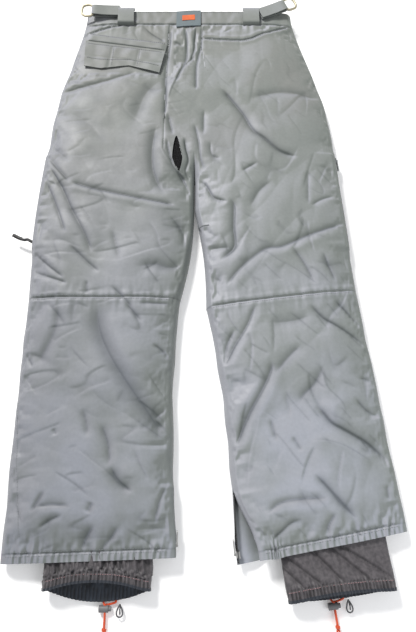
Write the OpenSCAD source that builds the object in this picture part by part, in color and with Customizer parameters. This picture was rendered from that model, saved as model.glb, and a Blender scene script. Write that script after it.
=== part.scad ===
// Insulated ski pants lying flat, back side up. The waist points to +Y and the hems to -Y.
// z = 0 is the face they rest on, and the origin is the crotch point on the centre line.
// Left and right are the wearer's, so the left leg is on the -X side.

/* [Waist and seat] */
// Width of the waist, lying flat
waist_w = 431; // [400:1:460]
// Height of the waist's top edge above the crotch
rise = 338; // [330:1:350]
// Height of the waistband
band_h = 34; // [30:1:38]
// Width of the left half at the crotch, lying flat
left_seat = 268; // [255:1:280]
// Width of the right half at the crotch, lying flat
right_seat = 282; // [270:1:295]

/* [Legs] */
// Width of a leg at the knee and below, lying flat
knee_w = 266; // [255:1:275]
// Distance from the crotch to the knee seams
thigh_len = 297; // [285:1:310]
// Middle of the left knee seam, measured from the centre line
left_knee_x = -141.5; // [-150:0.5:-138]
// Middle of the right knee seam, measured from the centre line
right_knee_x = 169; // [165:0.5:180]
// Angle that the right leg swings out, in degrees
right_swing = 6.6; // [5:0.1:8]
// Length of the left leg below the knee seam, at its middle
left_shin = 417; // [400:1:430]
// Length of the right leg below the knee seam, at its middle
right_shin = 402; // [390:1:415]
// Slant of the left hem against its leg, in degrees
left_hem_slant = 2; // [0:0.1:4]
// Slant of the right hem against its leg, in degrees
right_hem_slant = 3.8; // [0:0.1:5]
// Height of the stitched hem band
hem_h = 13; // [10:1:18]

/* [Thickness] */
// Thickness of the flattened pants
flat_t = 38; // [36:1:40]
// Thickness of a padded shell panel
shell_t = 3; // [2.5:0.1:3]
// Thickness of the lining
lining_t = 1; // [0.8:0.1:1.2]

/* [Gaiters] */
// Width of a gaiter, lying flat
gaiter_w = 164; // [140:1:180]
// Distance from the knee seam to the gaiter's elastic band
gaiter_end = 458; // [450:1:465]
// Height of the elastic band
gaiter_band_h = 17; // [12:1:20]
// How far a gaiter's middle sits to the right of its leg's middle
gaiter_x = 16; // [0:1:25]

/* [Fittings] */
// Length of a side-seam zip
side_zip_len = 190; // [150:1:195]
// Length of a hem zip
hem_zip_len = 100; // [80:1:110]
// Width of a waist ring along its strap
ring_w = 24; // [20:1:28]
// Length of a waist ring across its strap
ring_l = 29; // [28:1:32]
// Radius of the waist ring's wire
ring_r = 1.9; // [1.6:0.1:2]

/* [Hidden] */
$fn = 48;
shell_grey = "#9ea2a2";
band_grey = "#959a99";
gaiter_grey = "#645f62";
lining_navy = "#232a32";
cord_orange = "#e14b14";
patch_slate = "#5f6c70";
ring_ivory = "#b9b296";
zip_black = "#1c1c1e";
zip_metal = "#8f9194";
hook_grey = "#6e6e70";

mid_z = flat_t / 2;
band_y = rise - band_h;
fit = 0.07;             // radial clearance of every small pin in its bore
hip_steps = 12;
curve_steps = 6;
far = 600;              // longer than any part, for trimming boxes

// Where the legs meet below the crotch
fork_x = 15;
fork_y = -122;
gusset_tip = [fork_x, -60];

// Knee seams
left_knee_out = [left_knee_x - knee_w / 2, -thigh_len];
left_knee_in = [left_knee_x + knee_w / 2, -thigh_len];
right_knee_out = right_leg_point(knee_w / 2);
right_knee_in = right_leg_point(-knee_w / 2);
left_seat_point = [-left_seat, 0];
right_seat_point = [right_seat, 0];

// Seams of the back
left_yoke_y = 275;
left_yoke_x = -110;
right_yoke_seam = [[28, 267], [113, 260], [154, 278], [212, band_y]];
gusset_left_seam = [[-39, band_y], [-42, 200], [-44, 80], [-44, 0], [-14, -46]];
gusset_right_seam = [[32, band_y], [28, 267], [26, 248], [33, 192], [61, 148], [95, 77], [80, 0]];

// Inner-thigh vent: the lower end of the slot's middle line, its length and half width
vent_at = [-22, -20];
vent_l = 70;
vent_r = 8;

// Back pocket: its frame starts at the flap's upper outer corner, +X along the flap's top edge
pocket_at = [-208, 258];
pocket_turn = -9.1;
pocket_w = 164;
welt_h = 20;
flap_t = 2;
flap_gap = 0.4;
bag_depth = 130;

// Fly
fly_w = 20;
fly_low = 150;
fly_zip_z = 9.6;
fly_zip_len = 140;

// Lining
lining_low = 13;
lining_high = 30.5;

// Zips: a frame starts at a zip's lower end, +X along the teeth and +Z out of the garment
tape_w = 11;
tape_t = 1;
chain_w = 3;
chain_t = 2.4;
slit = 0.8;
slider_l = 11;
slider_w = 9.6;
slider_plate = 1.5;
slider_gap = 1.5;
lug_z = 4.6;
pull_pin_r = 0.95;
side_zip_low = 200;
side_zip_inset = 1.5;
hem_zip_inset = 3;
hem_zip_low = 408;

// Waist adjusters: a frame starts at a strap's sewn end on top of the waistband
left_strap_at = [-147, 334];
right_strap_at = [152, 328];
right_strap_turn = 22;
strap_w = 24;
strap_end_w = 18;
strap_l = 50;
strap_t = 2.5;
strap_lift = 0.5;
fold_r = 3.6;
fold_z = strap_lift + fold_r;

// Gaiter cord, lock and hook
cord_r = 1.2;
cord_gap = 1.25;
cord_z = 5.4;
cord_l = 36;
lock_r = 5.2;
lock_l = 14;
lock_y = -(gaiter_end + gaiter_band_h + 9);
lock_bore_x = 2;
button_r = 3.5;
button_travel = 3;
hook_r = 1.1;
hook_dx = 22;
hook_y = -(gaiter_end + gaiter_band_h + 5);
hook_z = 6.6;

// ---- Outlines -------------------------------------------------------------------------

// A point on the right knee seam, x to the right of its middle
function right_leg_point(x) =
    [right_knee_x + x * cos(right_swing), -thigh_len + x * sin(right_swing)];

// Half width of the body at height y, from the seat's half width at the crotch to the waist
function hip_half(seat, y) =
    let (t = pow((rise - y) / rise, 0.8))
    waist_w / 2 + (seat - waist_w / 2) * (1 - cos(180 * t)) / 2;

// The heights at which every hip edge has a point, so that neighbouring panels share their edges
hip_levels = concat([rise, band_y], [for (i = [0 : hip_steps]) left_yoke_y * (1 - i / hip_steps)]);

// The hip's edge from height top down to height low; side is -1 for left
function hip_edge(side, seat, top, low) = [
    for (y = hip_levels)
        if (y <= top && y >= low)
        [side * hip_half(seat, y), y]
];

function reversed(points) = [for (i = [len(points) - 1 : -1 : 0]) points[i]];
function moved(points, dx) = [for (p = points) [p[0] + dx, p[1]]];

left_inseam = [gusset_tip, [fork_x, fork_y], left_knee_in];
right_inseam = [gusset_tip, [fork_x, fork_y], right_knee_in];

// The left yoke's seam rises in an arc from the outer edge to the waistband
left_yoke_seam = [
    for (i = [0 : curve_steps])
        let (t = i / curve_steps, x0 = -hip_half(left_seat, left_yoke_y))
        [x0 + (left_yoke_x - x0) * t, left_yoke_y + (band_y - left_yoke_y) * sin(90 * t)]
];

module plate(points, low, high) {
    translate([0, 0, low]) linear_extrude(high - low) polygon(points);
}

// The wall under a panel's edge: the edge thickened inwards
module rim(edge, inward, low, high) {
    plate(concat(edge, reversed(moved(edge, inward))), low, high);
}

// A panel of the upper layer and its walls down to the side seams
module back_tray(points) {
    plate(points, flat_t - shell_t, flat_t);
}

module back_rim(edge, inward) {
    rim(edge, inward, mid_z, flat_t - shell_t);
}

module front_rim(edge, inward) {
    rim(edge, inward, 0, mid_z);
}

// ---- Seat and thighs ------------------------------------------------------------------

module back_left_panel() {
    outseam = concat(hip_edge(-1, left_seat, left_yoke_y, 0), [left_knee_out]);
    color(shell_grey) difference() {
        union() {
            back_tray(concat(
                left_yoke_seam, gusset_left_seam, left_inseam, reversed(outseam)
            ));
            back_rim(outseam, shell_t);
            back_rim(left_inseam, -shell_t);
        }
        left_side_zip_frame() zip_window(side_zip_len);
        pocket_frame() pocket_mouth(flat_t);
    }
}

module back_right_panel() {
    outseam = concat(hip_edge(1, right_seat, band_y, 0), [right_knee_out]);
    gusset_side = [for (i = [1 : len(gusset_right_seam) - 1]) gusset_right_seam[i]];
    color(shell_grey) difference() {
        union() {
            back_tray(concat(
                reversed(right_yoke_seam), gusset_side, right_inseam, reversed(outseam)
            ));
            back_rim(outseam, -shell_t);
            back_rim(right_inseam, shell_t);
        }
        right_side_zip_frame() zip_window(side_zip_len);
        right_leg_frame() below_line(0, 0);
    }
}

module back_left_yoke() {
    edge = hip_edge(-1, left_seat, band_y, left_yoke_y);
    color(shell_grey) {
        back_tray(concat(edge, left_yoke_seam));
        back_rim(edge, shell_t);
    }
}

module back_right_yoke() {
    color(shell_grey) back_tray(concat([gusset_right_seam[0]], right_yoke_seam));
}

module seat_gusset() {
    color(shell_grey) difference() {
        back_tray(concat(gusset_left_seam, [gusset_tip], reversed(gusset_right_seam)));
        vent_slot(0);
    }
}

// The vent's outline, a slot through the upper layer beside the gusset's left seam, grown by edge
module vent_slot(edge) {
    r = vent_r + edge;
    translate([vent_at[0], vent_at[1], mid_z]) linear_extrude(flat_t) {
        circle(r);
        translate([-r, 0]) square([2 * r, vent_l]);
        translate([0, vent_l]) circle(r);
    }
}

module inner_vent_mesh() {
    color(zip_black) intersection() {
        vent_slot(5);
        translate([-far / 2, -far / 2, flat_t - shell_t - 1]) cube([far, far, 1]);
    }
}

module front_panel(outseam, inseam, inward, side) {
    inner = [[side * fly_w, band_y], [side * fly_w, fly_low], [0, fly_low - fly_w]];
    plate(concat(inner, inseam, reversed(outseam)), 0, shell_t);
    front_rim(outseam, inward);
    front_rim(inseam, -inward);
}

module front_left_panel() {
    outseam = concat(hip_edge(-1, left_seat, band_y, 0), [left_knee_out]);
    color(shell_grey) difference() {
        front_panel(outseam, left_inseam, shell_t, -1);
        left_side_zip_frame() zip_window(side_zip_len);
    }
}

module front_right_panel() {
    outseam = concat(hip_edge(1, right_seat, band_y, 0), [right_knee_out]);
    color(shell_grey) difference() {
        front_panel(outseam, right_inseam, -shell_t, 1);
        right_side_zip_frame() zip_window(side_zip_len);
        right_leg_frame() below_line(0, 0);
    }
}

// Two sheets, one under each shell layer, that touch the walls at the sides
module body_lining() {
    stop_y = -thigh_len + 20;
    left_edge = concat(hip_edge(-1, left_seat, band_y, 0), [left_knee_out]);
    right_edge = concat(hip_edge(1, right_seat, band_y, 0), [right_knee_out]);
    color(lining_navy) difference() {
        for (low = [lining_low, lining_high - lining_t]) {
            plate(concat(
                moved(left_edge, shell_t), moved(reversed(left_inseam), -shell_t),
                moved(right_inseam, shell_t), moved(reversed(right_edge), -shell_t)
            ), low, low + lining_t);
        }
        translate([-far, stop_y - far, 0]) cube([2 * far, far, flat_t]);
    }
}

// ---- Waistband ------------------------------------------------------------------------

module back_waistband() {
    left_edge = hip_edge(-1, left_seat, rise, band_y);
    right_edge = hip_edge(1, right_seat, rise, band_y);
    color(band_grey) {
        back_tray(concat(left_edge, reversed(right_edge)));
        back_rim(left_edge, shell_t);
        back_rim(right_edge, -shell_t);
    }
}

tab_end = 30;
tongue_gap = 0.5;

// The right half ends in a tongue that the snap tab closes over
module front_waistband() {
    left_edge = hip_edge(-1, left_seat, rise, band_y);
    right_edge = hip_edge(1, right_seat, rise, band_y);
    step_x = tab_end + 2;
    color(band_grey) {
        plate(concat(left_edge, [[-fly_w, band_y], [-fly_w, rise]]), 0, shell_t);
        front_rim(left_edge, shell_t);
        plate(concat([[step_x, rise], [step_x, band_y]], reversed(right_edge)), 0, shell_t);
        front_rim(right_edge, -shell_t);
        translate([step_x, band_y, 0]) cube([shell_t, band_h, 2 * shell_t + tongue_gap]);
        translate([-5, band_y, shell_t + tongue_gap]) cube([step_x + 5, band_h, shell_t]);
    }
}

snap_xs = [4, 20];
snap_y = band_y + band_h / 2;
snap_r = 2.5;
tab_low = 1;
tab_high = 3.2;

module waist_tab() {
    color(band_grey) difference() {
        translate([-fly_w, band_y + 2, tab_low]) cube([fly_w + tab_end, band_h - 4, tab_high - tab_low]);
        for (x = snap_xs) translate([x, snap_y, 0]) cylinder(r = 4, h = 2 * tab_high);
    }
}

module snap_caps() {
    color(zip_metal) for (x = snap_xs) translate([x, snap_y, 0.2]) difference() {
        union() {
            cylinder(r = 7, h = tab_low - 0.2);
            cylinder(r = 4, h = tab_high - 0.2);
        }
        translate([0, 0, tab_low]) cylinder(r = snap_r + fit, h = tab_high);
    }
}

module snap_studs() {
    color(zip_metal) for (x = snap_xs) translate([x, snap_y, 0]) {
        translate([0, 0, tab_low + 0.5]) cylinder(r = snap_r, h = shell_t + tongue_gap - tab_low - 0.5);
    }
}

module locker_patch() {
    patch_w = 50;
    patch_t = 2.2;
    color(patch_slate) translate([-patch_w / 2, band_y, flat_t]) cube([patch_w, band_h, patch_t]);
}

// Two webbing bridges over the waistband
module keeper_loops() {
    leg = 2;
    gap = 4;
    web_w = 32;
    web_t = 1.5;
    out = 129;
    color(band_grey) for (x = [-out, out]) translate([x - web_w / 2, band_y, flat_t]) {
        for (y = [0, band_h - leg]) translate([0, y, 0]) cube([web_w, leg, gap]);
        translate([0, 0, gap]) cube([web_w, band_h, web_t]);
    }
}

module left_strap_frame() {
    translate([left_strap_at[0], left_strap_at[1], flat_t]) rotate(180) children();
}

module right_strap_frame() {
    translate([right_strap_at[0], right_strap_at[1], flat_t]) rotate(right_strap_turn) children();
}

// A strap with a narrow end folded around the ring's bar
module adjuster_strap() {
    neck = 8;
    color(band_grey) difference() {
        union() {
            translate([0, 0, strap_lift]) linear_extrude(strap_t) polygon([
                [0, -strap_w / 2], [strap_l - neck, -strap_w / 2], [strap_l, -strap_end_w / 2],
                [strap_l, strap_end_w / 2], [strap_l - neck, strap_w / 2], [0, strap_w / 2]
            ]);
            translate([strap_l, 0, fold_z]) rotate([90, 0, 0])
                cylinder(r = fold_r, h = strap_end_w, center = true);
        }
        translate([strap_l, 0, fold_z]) rotate([90, 0, 0])
            cylinder(r = ring_r + fit, h = 2 * strap_w, center = true);
    }
}

// A wire ring with rounded corners; its inner bar lies in the strap's fold
module waist_ring() {
    corner = 4;
    half_w = ring_w / 2 - corner;
    half_l = ring_l / 2 - corner;
    color(ring_ivory) translate([strap_l + ring_w / 2, 0, fold_z]) {
        for (turn = [0, 90, 180, 270]) {
            sx = turn == 0 || turn == 270 ? 1 : -1;
            sy = turn < 180 ? 1 : -1;
            translate([sx * half_w, sy * half_l, 0]) rotate(turn)
                rotate_extrude(angle = 90) translate([corner, 0]) circle(ring_r);
        }
        for (s = [-1, 1]) {
            translate([s * ring_w / 2, 0, 0]) rotate([90, 0, 0])
                cylinder(r = ring_r, h = 2 * half_l, center = true);
            translate([0, s * ring_l / 2, 0]) rotate([0, 90, 0])
                cylinder(r = ring_r, h = 2 * half_w, center = true);
        }
    }
}

// ---- Back pocket ----------------------------------------------------------------------

module pocket_frame() {
    translate([pocket_at[0], pocket_at[1], 0]) rotate(pocket_turn) children();
}

module pocket_mouth(top) {
    translate([12, -14, 0]) cube([pocket_w - 24, 8, top + 1]);
}

module pocket_welt() {
    color(shell_grey) pocket_frame() translate([0, flap_gap, flat_t]) cube([pocket_w, welt_h, flap_t]);
}

module pocket_flap() {
    color(shell_grey) pocket_frame() plate(
        [[0, 0], [pocket_w, 0], [pocket_w + 4, -45], [114, -38], [12, -60]],
        flat_t + flap_gap, flat_t + flap_gap + flap_t
    );
}

module pocket_bag() {
    low = lining_high + 0.3;
    high = flat_t - shell_t - fit;
    skin = 0.8;
    color(lining_navy) pocket_frame() difference() {
        translate([4, -bag_depth, low]) cube([pocket_w - 8, bag_depth - 2, high - low]);
        translate([4 + skin, -bag_depth + skin, low + skin])
            cube([pocket_w - 8 - 2 * skin, bag_depth - 2 - 2 * skin, high - low - 2 * skin]);
        translate([0, 0, low + skin]) pocket_mouth(flat_t);
    }
}

// ---- Fly ------------------------------------------------------------------------------

module fly_placket() {
    color(shell_grey) plate([
        [-fly_w, band_y], [-fly_w, fly_low], [0, fly_low - fly_w], [fly_w, fly_low], [fly_w, band_y]
    ], 0, shell_t);
}

module fly_shield() {
    color(lining_navy) translate([-25, fly_low, lining_low + lining_t]) cube([50, band_y - fly_low, 1.5]);
}

module fly_frame() {
    translate([0, fly_low + 4, fly_zip_z]) rotate([180, 0, 90]) children();
}

// ---- Zips -----------------------------------------------------------------------------

// Two tapes with teeth along a slit; a stop closes each end
module zip(length) {
    color(zip_black) {
        for (s = [-1, 1]) {
            translate([0, s > 0 ? slit / 2 : -tape_w, -tape_t / 2])
                cube([length, tape_w - slit / 2, tape_t]);
            translate([0, s > 0 ? slit / 2 : -slit / 2 - chain_w, -chain_t / 2])
                cube([length, chain_w, chain_t]);
        }
        for (x = [0, length - 2]) {
            translate([x, -slit / 2 - chain_w, -chain_t / 2]) cube([2, 2 * chain_w + slit, chain_t]);
        }
    }
}

// The opening that a zip's tapes fill in a wall
module zip_window(length) {
    translate([0, -tape_w, -10]) cube([length, 2 * tape_w, 20]);
}

// Two plates joined by a bridge in the slit, and a lug that carries the pull
module zip_slider() {
    high = slider_gap + slider_plate;
    color(zip_metal) difference() {
        union() {
            for (low = [-high, slider_gap]) translate([0, 0, low]) slider_outline(slider_plate);
            for (s = [-1, 1]) translate([-slider_l / 2 + 2, s * (slider_w / 2 - 0.4) - 0.4, -high])
                cube([slider_l - 4, 0.8, slider_plate + 0.7]);
            for (s = [-1, 1]) translate([-slider_l / 2 + 2, s * (slider_w / 2 - 0.4) - 0.4, 0.8])
                cube([slider_l - 4, 0.8, slider_plate + 0.7]);
            translate([-1.5, -0.3, -high]) cube([3, 0.6, 2 * high]);
            translate([-1.8, -1.2, slider_gap]) cube([3.6, 2.4, lug_z - slider_gap]);
            translate([0, 0, lug_z]) rotate([90, 0, 0]) cylinder(r = 1.8, h = 2.4, center = true);
        }
        translate([0, 0, lug_z]) rotate([90, 0, 0]) cylinder(r = pull_pin_r + fit, h = 4, center = true);
    }
}

module slider_outline(thick) {
    linear_extrude(thick) intersection() {
        square([slider_l, slider_w], center = true);
        circle(r = slider_l / 2 + 0.6);
    }
}

// A tab on a pin through the slider's lug; at turn 0 it lies along -X
module zip_pull(length, turn, tint) {
    cheek = 1.2;
    inner = 1.4;
    tab_x = -4;
    half_t = 0.9;
    half_w = inner + cheek;
    color(tint) translate([0, 0, lug_z]) rotate([0, turn, 0]) {
        rotate([90, 0, 0]) cylinder(r = pull_pin_r, h = 2 * inner + 0.4, center = true);
        for (s = [-1, 1]) translate([tab_x, s > 0 ? inner : -half_w, -half_t]) cube([5, cheek, 2 * half_t]);
        difference() {
            union() {
                translate([-length + half_w, -half_w, -half_t])
                    cube([length - half_w + tab_x, 2 * half_w, 2 * half_t]);
                translate([-length + half_w, 0, -half_t]) cylinder(r = half_w, h = 2 * half_t);
            }
            translate([-length + half_w, 0, -half_t - 1]) cylinder(r = 1.2, h = 4);
        }
    }
}

// A frame on the outseam, side_zip_low below the crotch; flip is -90 left and 90 right
module side_zip_frame(seat_point, knee_point, inward, flip) {
    t = side_zip_low / thigh_len;
    base = seat_point + (knee_point - seat_point) * t;
    along = seat_point - knee_point;
    translate([base[0] + inward, base[1], mid_z]) rotate([flip, 0, atan2(along[1], along[0])]) children();
}

module left_side_zip_frame() {
    side_zip_frame(left_seat_point, left_knee_out, side_zip_inset, -90) children();
}

module right_side_zip_frame() {
    side_zip_frame(right_seat_point, right_knee_out, -side_zip_inset, 90) children();
}

left_slider_x = 14;
right_slider_x = side_zip_len - 14;
hem_slider_x = 12;
fly_slider_x = fly_zip_len - 12;
pull_l = 22;
cord_pull_l = 42;
cord_pull_turn = 110;

// ---- Lower legs -----------------------------------------------------------------------

module left_leg_frame() {
    translate([left_knee_x, -thigh_len, 0]) children();
}

module right_leg_frame() {
    translate([right_knee_x, -thigh_len, 0]) rotate(right_swing) children();
}

module stadium(w, h) {
    square([w - h, h], center = true);
    for (s = [-1, 1]) translate([s * (w - h) / 2, 0]) circle(d = h);
}

// A flattened tube along -Y from depth top to depth low below the knee seam
module flat_tube(w, h, wall, z, top, low) {
    translate([0, -top, z]) rotate([90, 0, 0]) linear_extrude(low - top) difference() {
        stadium(w, h);
        stadium(w - 2 * wall, h - 2 * wall);
    }
}

module below_line(depth, slant) {
    translate([0, -depth, -1]) rotate(slant) translate([-far, -far, 0]) cube([2 * far, far, flat_t + 2]);
}

module half_space(low) {
    translate([-far, -far, low]) cube([2 * far, 2 * far, mid_z]);
}

// The hem zip's frame on the inseam; side is 1 where the inseam is on the leg's +X side
module hem_zip_frame(side) {
    translate([side * (knee_w / 2 - hem_zip_inset), -hem_zip_low, mid_z]) rotate([side * 90, 0, 90]) children();
}

module lower_panel(shin, slant, side, low) {
    color(shell_grey) difference() {
        intersection() {
            flat_tube(knee_w, flat_t, shell_t, mid_z, 0, gaiter_end);
            half_space(low);
        }
        below_line(shin - hem_h, slant);
        hem_zip_frame(side) zip_window(hem_zip_len);
    }
}

module hem_band(shin, slant, side) {
    color(band_grey) difference() {
        intersection() {
            flat_tube(knee_w, flat_t, shell_t, mid_z, 0, gaiter_end);
            below_line(shin - hem_h, slant);
        }
        below_line(shin, slant);
        hem_zip_frame(side) zip_window(hem_zip_len);
    }
}

gaiter_top = 330;
gaiter_h = 30;
gaiter_wall = 2.2;

module leg_lining() {
    h = lining_high - lining_low;
    color(lining_navy) flat_tube(knee_w - 4 * shell_t, h, lining_t, lining_low + h / 2, 20, gaiter_top - 5);
}

module gaiter_sleeve() {
    color(gaiter_grey) translate([gaiter_x, 0, 0])
        flat_tube(gaiter_w, gaiter_h, gaiter_wall, mid_z, gaiter_top, gaiter_end);
}

// The elastic band, with the small cloth loop that holds the boot hook
module gaiter_band(cord_x) {
    low = gaiter_end + gaiter_band_h;
    loop_l = 10;
    loop_r = 2.6;
    color(gaiter_grey) difference() {
        union() {
            translate([gaiter_x, 0, 0])
                flat_tube(gaiter_w, gaiter_h, gaiter_wall, mid_z, gaiter_end, low);
            translate([cord_x + hook_dx - loop_l / 2, hook_y, hook_z - loop_r])
                cube([loop_l, -hook_y - low + 1, gaiter_wall]);
            translate([cord_x + hook_dx, hook_y, hook_z]) rotate([0, 90, 0])
                cylinder(r = loop_r, h = loop_l, center = true);
        }
        translate([cord_x + hook_dx, hook_y, hook_z]) rotate([0, 90, 0])
            cylinder(r = hook_r + fit, h = 2 * loop_l, center = true);
    }
}

// Two cord ends that leave the band together and meet in a knot
module drawcord(cord_x) {
    start = -(gaiter_end + gaiter_band_h);
    color(cord_orange) translate([cord_x, start, cord_z]) {
        for (s = [-1, 1]) translate([0, 0, s * cord_gap]) rotate([90, 0, 0]) cylinder(r = cord_r, h = cord_l);
        translate([0, -cord_l, 0]) sphere(r = 3.2);
    }
}

// A barrel across the cords; the button slides in its socket
module cord_lock(cord_x) {
    wall = 2;
    color(hook_grey) translate([cord_x - lock_bore_x, lock_y, cord_z]) difference() {
        rotate([0, 90, 0]) cylinder(r = lock_r, h = lock_l, center = true);
        translate([-lock_l / 2 + wall, 0, 0]) rotate([0, 90, 0]) cylinder(r = button_r + fit, h = lock_l);
        translate([lock_bore_x, 0, 0]) rotate([90, 0, 0])
            cylinder(r = cord_gap + cord_r + 0.15, h = 3 * lock_r, center = true);
    }
}

module lock_button(cord_x) {
    low = -lock_l / 2 + 2 + button_travel + 0.1;
    high = lock_l / 2 + 4;
    slot = 2 * cord_r + button_travel + 0.2;
    color(zip_black) translate([cord_x - lock_bore_x, lock_y, cord_z]) difference() {
        translate([low, 0, 0]) rotate([0, 90, 0]) cylinder(r = button_r, h = high - low);
        translate([lock_bore_x - cord_r - 0.1, -lock_r, -cord_gap - cord_r - 0.1])
            cube([slot, 2 * lock_r, 2 * (cord_gap + cord_r + 0.1)]);
    }
}

// A wire frame on a pin, with a tip curled up to catch a boot lace
module boot_hook(cord_x) {
    half = 6.5;
    arm = 14;
    curl = 4;
    color(hook_grey) translate([cord_x + hook_dx, hook_y, hook_z]) {
        for (y = [0, -arm]) translate([0, y, 0]) rotate([0, 90, 0])
            cylinder(r = hook_r, h = 2 * half, center = true);
        for (s = [-1, 1]) translate([s * half, 0, 0]) {
            rotate([90, 0, 0]) cylinder(r = hook_r, h = arm);
            for (y = [0, -arm]) translate([0, y, 0]) sphere(r = hook_r);
        }
        translate([0, -arm, curl]) rotate([0, 90, 0]) rotate(-90)
            rotate_extrude(angle = 180) translate([curl, 0]) circle(hook_r);
    }
}

// The cord leaves the gaiter this far from the leg's middle
left_cord_x = 28;
right_cord_x = 4;

// ---- Nodes ----------------------------------------------------------------------------

back_left_panel();
back_right_panel();
back_left_yoke();
back_right_yoke();
seat_gusset();
front_left_panel();
front_right_panel();
back_waistband();
front_waistband();
body_lining();
locker_patch();
keeper_loops();
pocket_welt();
pocket_bag();
pocket_flap();
inner_vent_mesh();
left_strap_frame() adjuster_strap();  // left_adjuster_strap
left_strap_frame() waist_ring();  // left_waist_ring
right_strap_frame() adjuster_strap();  // right_adjuster_strap
right_strap_frame() waist_ring();  // right_waist_ring
waist_tab();
snap_caps();
snap_studs();
fly_placket();
fly_shield();
fly_frame() zip(fly_zip_len);  // fly_zip
fly_frame() translate([fly_slider_x, 0, 0]) zip_slider();  // fly_slider
fly_frame() translate([fly_slider_x, 0, 0]) zip_pull(pull_l, 0, zip_metal);  // fly_pull
left_side_zip_frame() zip(side_zip_len);  // left_side_zip
left_side_zip_frame() translate([left_slider_x, 0, 0]) zip_slider();  // left_side_slider
left_side_zip_frame() translate([left_slider_x, 0, 0]) zip_pull(cord_pull_l, cord_pull_turn, zip_black);  // left_side_pull
right_side_zip_frame() zip(side_zip_len);  // right_side_zip
right_side_zip_frame() translate([right_slider_x, 0, 0]) zip_slider();  // right_side_slider
right_side_zip_frame() translate([right_slider_x, 0, 0]) zip_pull(pull_l, 0, zip_black);  // right_side_pull
left_leg_frame() lower_panel(left_shin, left_hem_slant, 1, mid_z);  // left_lower_back_panel
left_leg_frame() lower_panel(left_shin, left_hem_slant, 1, 0);  // left_lower_front_panel
left_leg_frame() hem_band(left_shin, left_hem_slant, 1);  // left_hem_band
left_leg_frame() leg_lining();  // left_leg_lining
left_leg_frame() gaiter_sleeve();  // left_gaiter_sleeve
left_leg_frame() gaiter_band(left_cord_x);  // left_gaiter_band
left_leg_frame() drawcord(left_cord_x);  // left_drawcord
left_leg_frame() cord_lock(left_cord_x);  // left_cord_lock
left_leg_frame() lock_button(left_cord_x);  // left_lock_button
left_leg_frame() boot_hook(left_cord_x);  // left_boot_hook
left_leg_frame() hem_zip_frame(1) zip(hem_zip_len);  // left_hem_zip
left_leg_frame() hem_zip_frame(1) translate([hem_slider_x, 0, 0]) zip_slider();  // left_hem_slider
left_leg_frame() hem_zip_frame(1) translate([hem_slider_x, 0, 0]) rotate(180) zip_pull(pull_l, 0, zip_metal);  // left_hem_pull
right_leg_frame() lower_panel(right_shin, right_hem_slant, -1, mid_z);  // right_lower_back_panel
right_leg_frame() lower_panel(right_shin, right_hem_slant, -1, 0);  // right_lower_front_panel
right_leg_frame() hem_band(right_shin, right_hem_slant, -1);  // right_hem_band
right_leg_frame() leg_lining();  // right_leg_lining
right_leg_frame() gaiter_sleeve();  // right_gaiter_sleeve
right_leg_frame() gaiter_band(right_cord_x);  // right_gaiter_band
right_leg_frame() drawcord(right_cord_x);  // right_drawcord
right_leg_frame() cord_lock(right_cord_x);  // right_cord_lock
right_leg_frame() lock_button(right_cord_x);  // right_lock_button
right_leg_frame() boot_hook(right_cord_x);  // right_boot_hook
right_leg_frame() hem_zip_frame(-1) zip(hem_zip_len);  // right_hem_zip
right_leg_frame() hem_zip_frame(-1) translate([hem_slider_x, 0, 0]) zip_slider();  // right_hem_slider
right_leg_frame() hem_zip_frame(-1) translate([hem_slider_x, 0, 0]) rotate(180) zip_pull(pull_l, 0, zip_metal);  // right_hem_pull
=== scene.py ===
"""Looks for a pair of insulated ski pants lying flat, back side up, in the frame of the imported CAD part.

Lengths are millimetres in the row frame, and the left leg is on the -X side. The padded shell is one height
field over the garment's plan, an upper and a lower layer, which is cut into the CAD's panels.
"""
import math

import bmesh
import bpy
import numpy as np
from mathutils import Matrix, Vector
from mathutils.bvhtree import BVHTree


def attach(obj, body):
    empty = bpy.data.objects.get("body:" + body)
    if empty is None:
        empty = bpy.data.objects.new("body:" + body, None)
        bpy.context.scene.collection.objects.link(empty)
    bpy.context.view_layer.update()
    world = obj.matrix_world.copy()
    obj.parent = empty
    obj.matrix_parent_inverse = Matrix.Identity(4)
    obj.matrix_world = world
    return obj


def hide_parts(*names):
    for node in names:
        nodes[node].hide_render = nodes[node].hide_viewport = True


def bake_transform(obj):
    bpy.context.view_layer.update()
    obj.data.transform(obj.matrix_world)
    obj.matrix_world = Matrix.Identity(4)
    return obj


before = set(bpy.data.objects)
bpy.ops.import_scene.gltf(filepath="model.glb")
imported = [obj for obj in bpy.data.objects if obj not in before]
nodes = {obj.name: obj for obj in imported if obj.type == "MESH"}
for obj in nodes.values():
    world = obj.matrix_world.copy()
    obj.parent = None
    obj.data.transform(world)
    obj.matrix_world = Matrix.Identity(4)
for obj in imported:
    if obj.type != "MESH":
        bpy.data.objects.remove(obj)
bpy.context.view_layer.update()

MM = 0.001
LEFT = -1
RIGHT = 1
SIDE_NAME = {LEFT: "left", RIGHT: "right"}

# Plan of the garment, the same driving dimensions as the CAD
RISE = 338.0
BAND_Y = 304.0
WAIST_HALF = 215.5
SEAT_HALF = {LEFT: 268.0, RIGHT: 282.0}
FORK_X = 15.0
FORK_Y = -122.0
TIP_Y = -60.0
KNEE_W = 266.0
KNEE_X = {LEFT: -141.5, RIGHT: 169.0}
KNEE_Y = -297.0
SWING = {LEFT: 0.0, RIGHT: math.radians(6.6)}
SHIN = {LEFT: 417.0, RIGHT: 402.0}
HEM_SLANT = {LEFT: math.radians(2.0), RIGHT: math.radians(3.8)}
HEM_H = 13.0
HEM_PITCH = 9.5         # from pucker to pucker
GAITER_X = 16.0         # how far the gaiters hang to the right of their legs' middles

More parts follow.
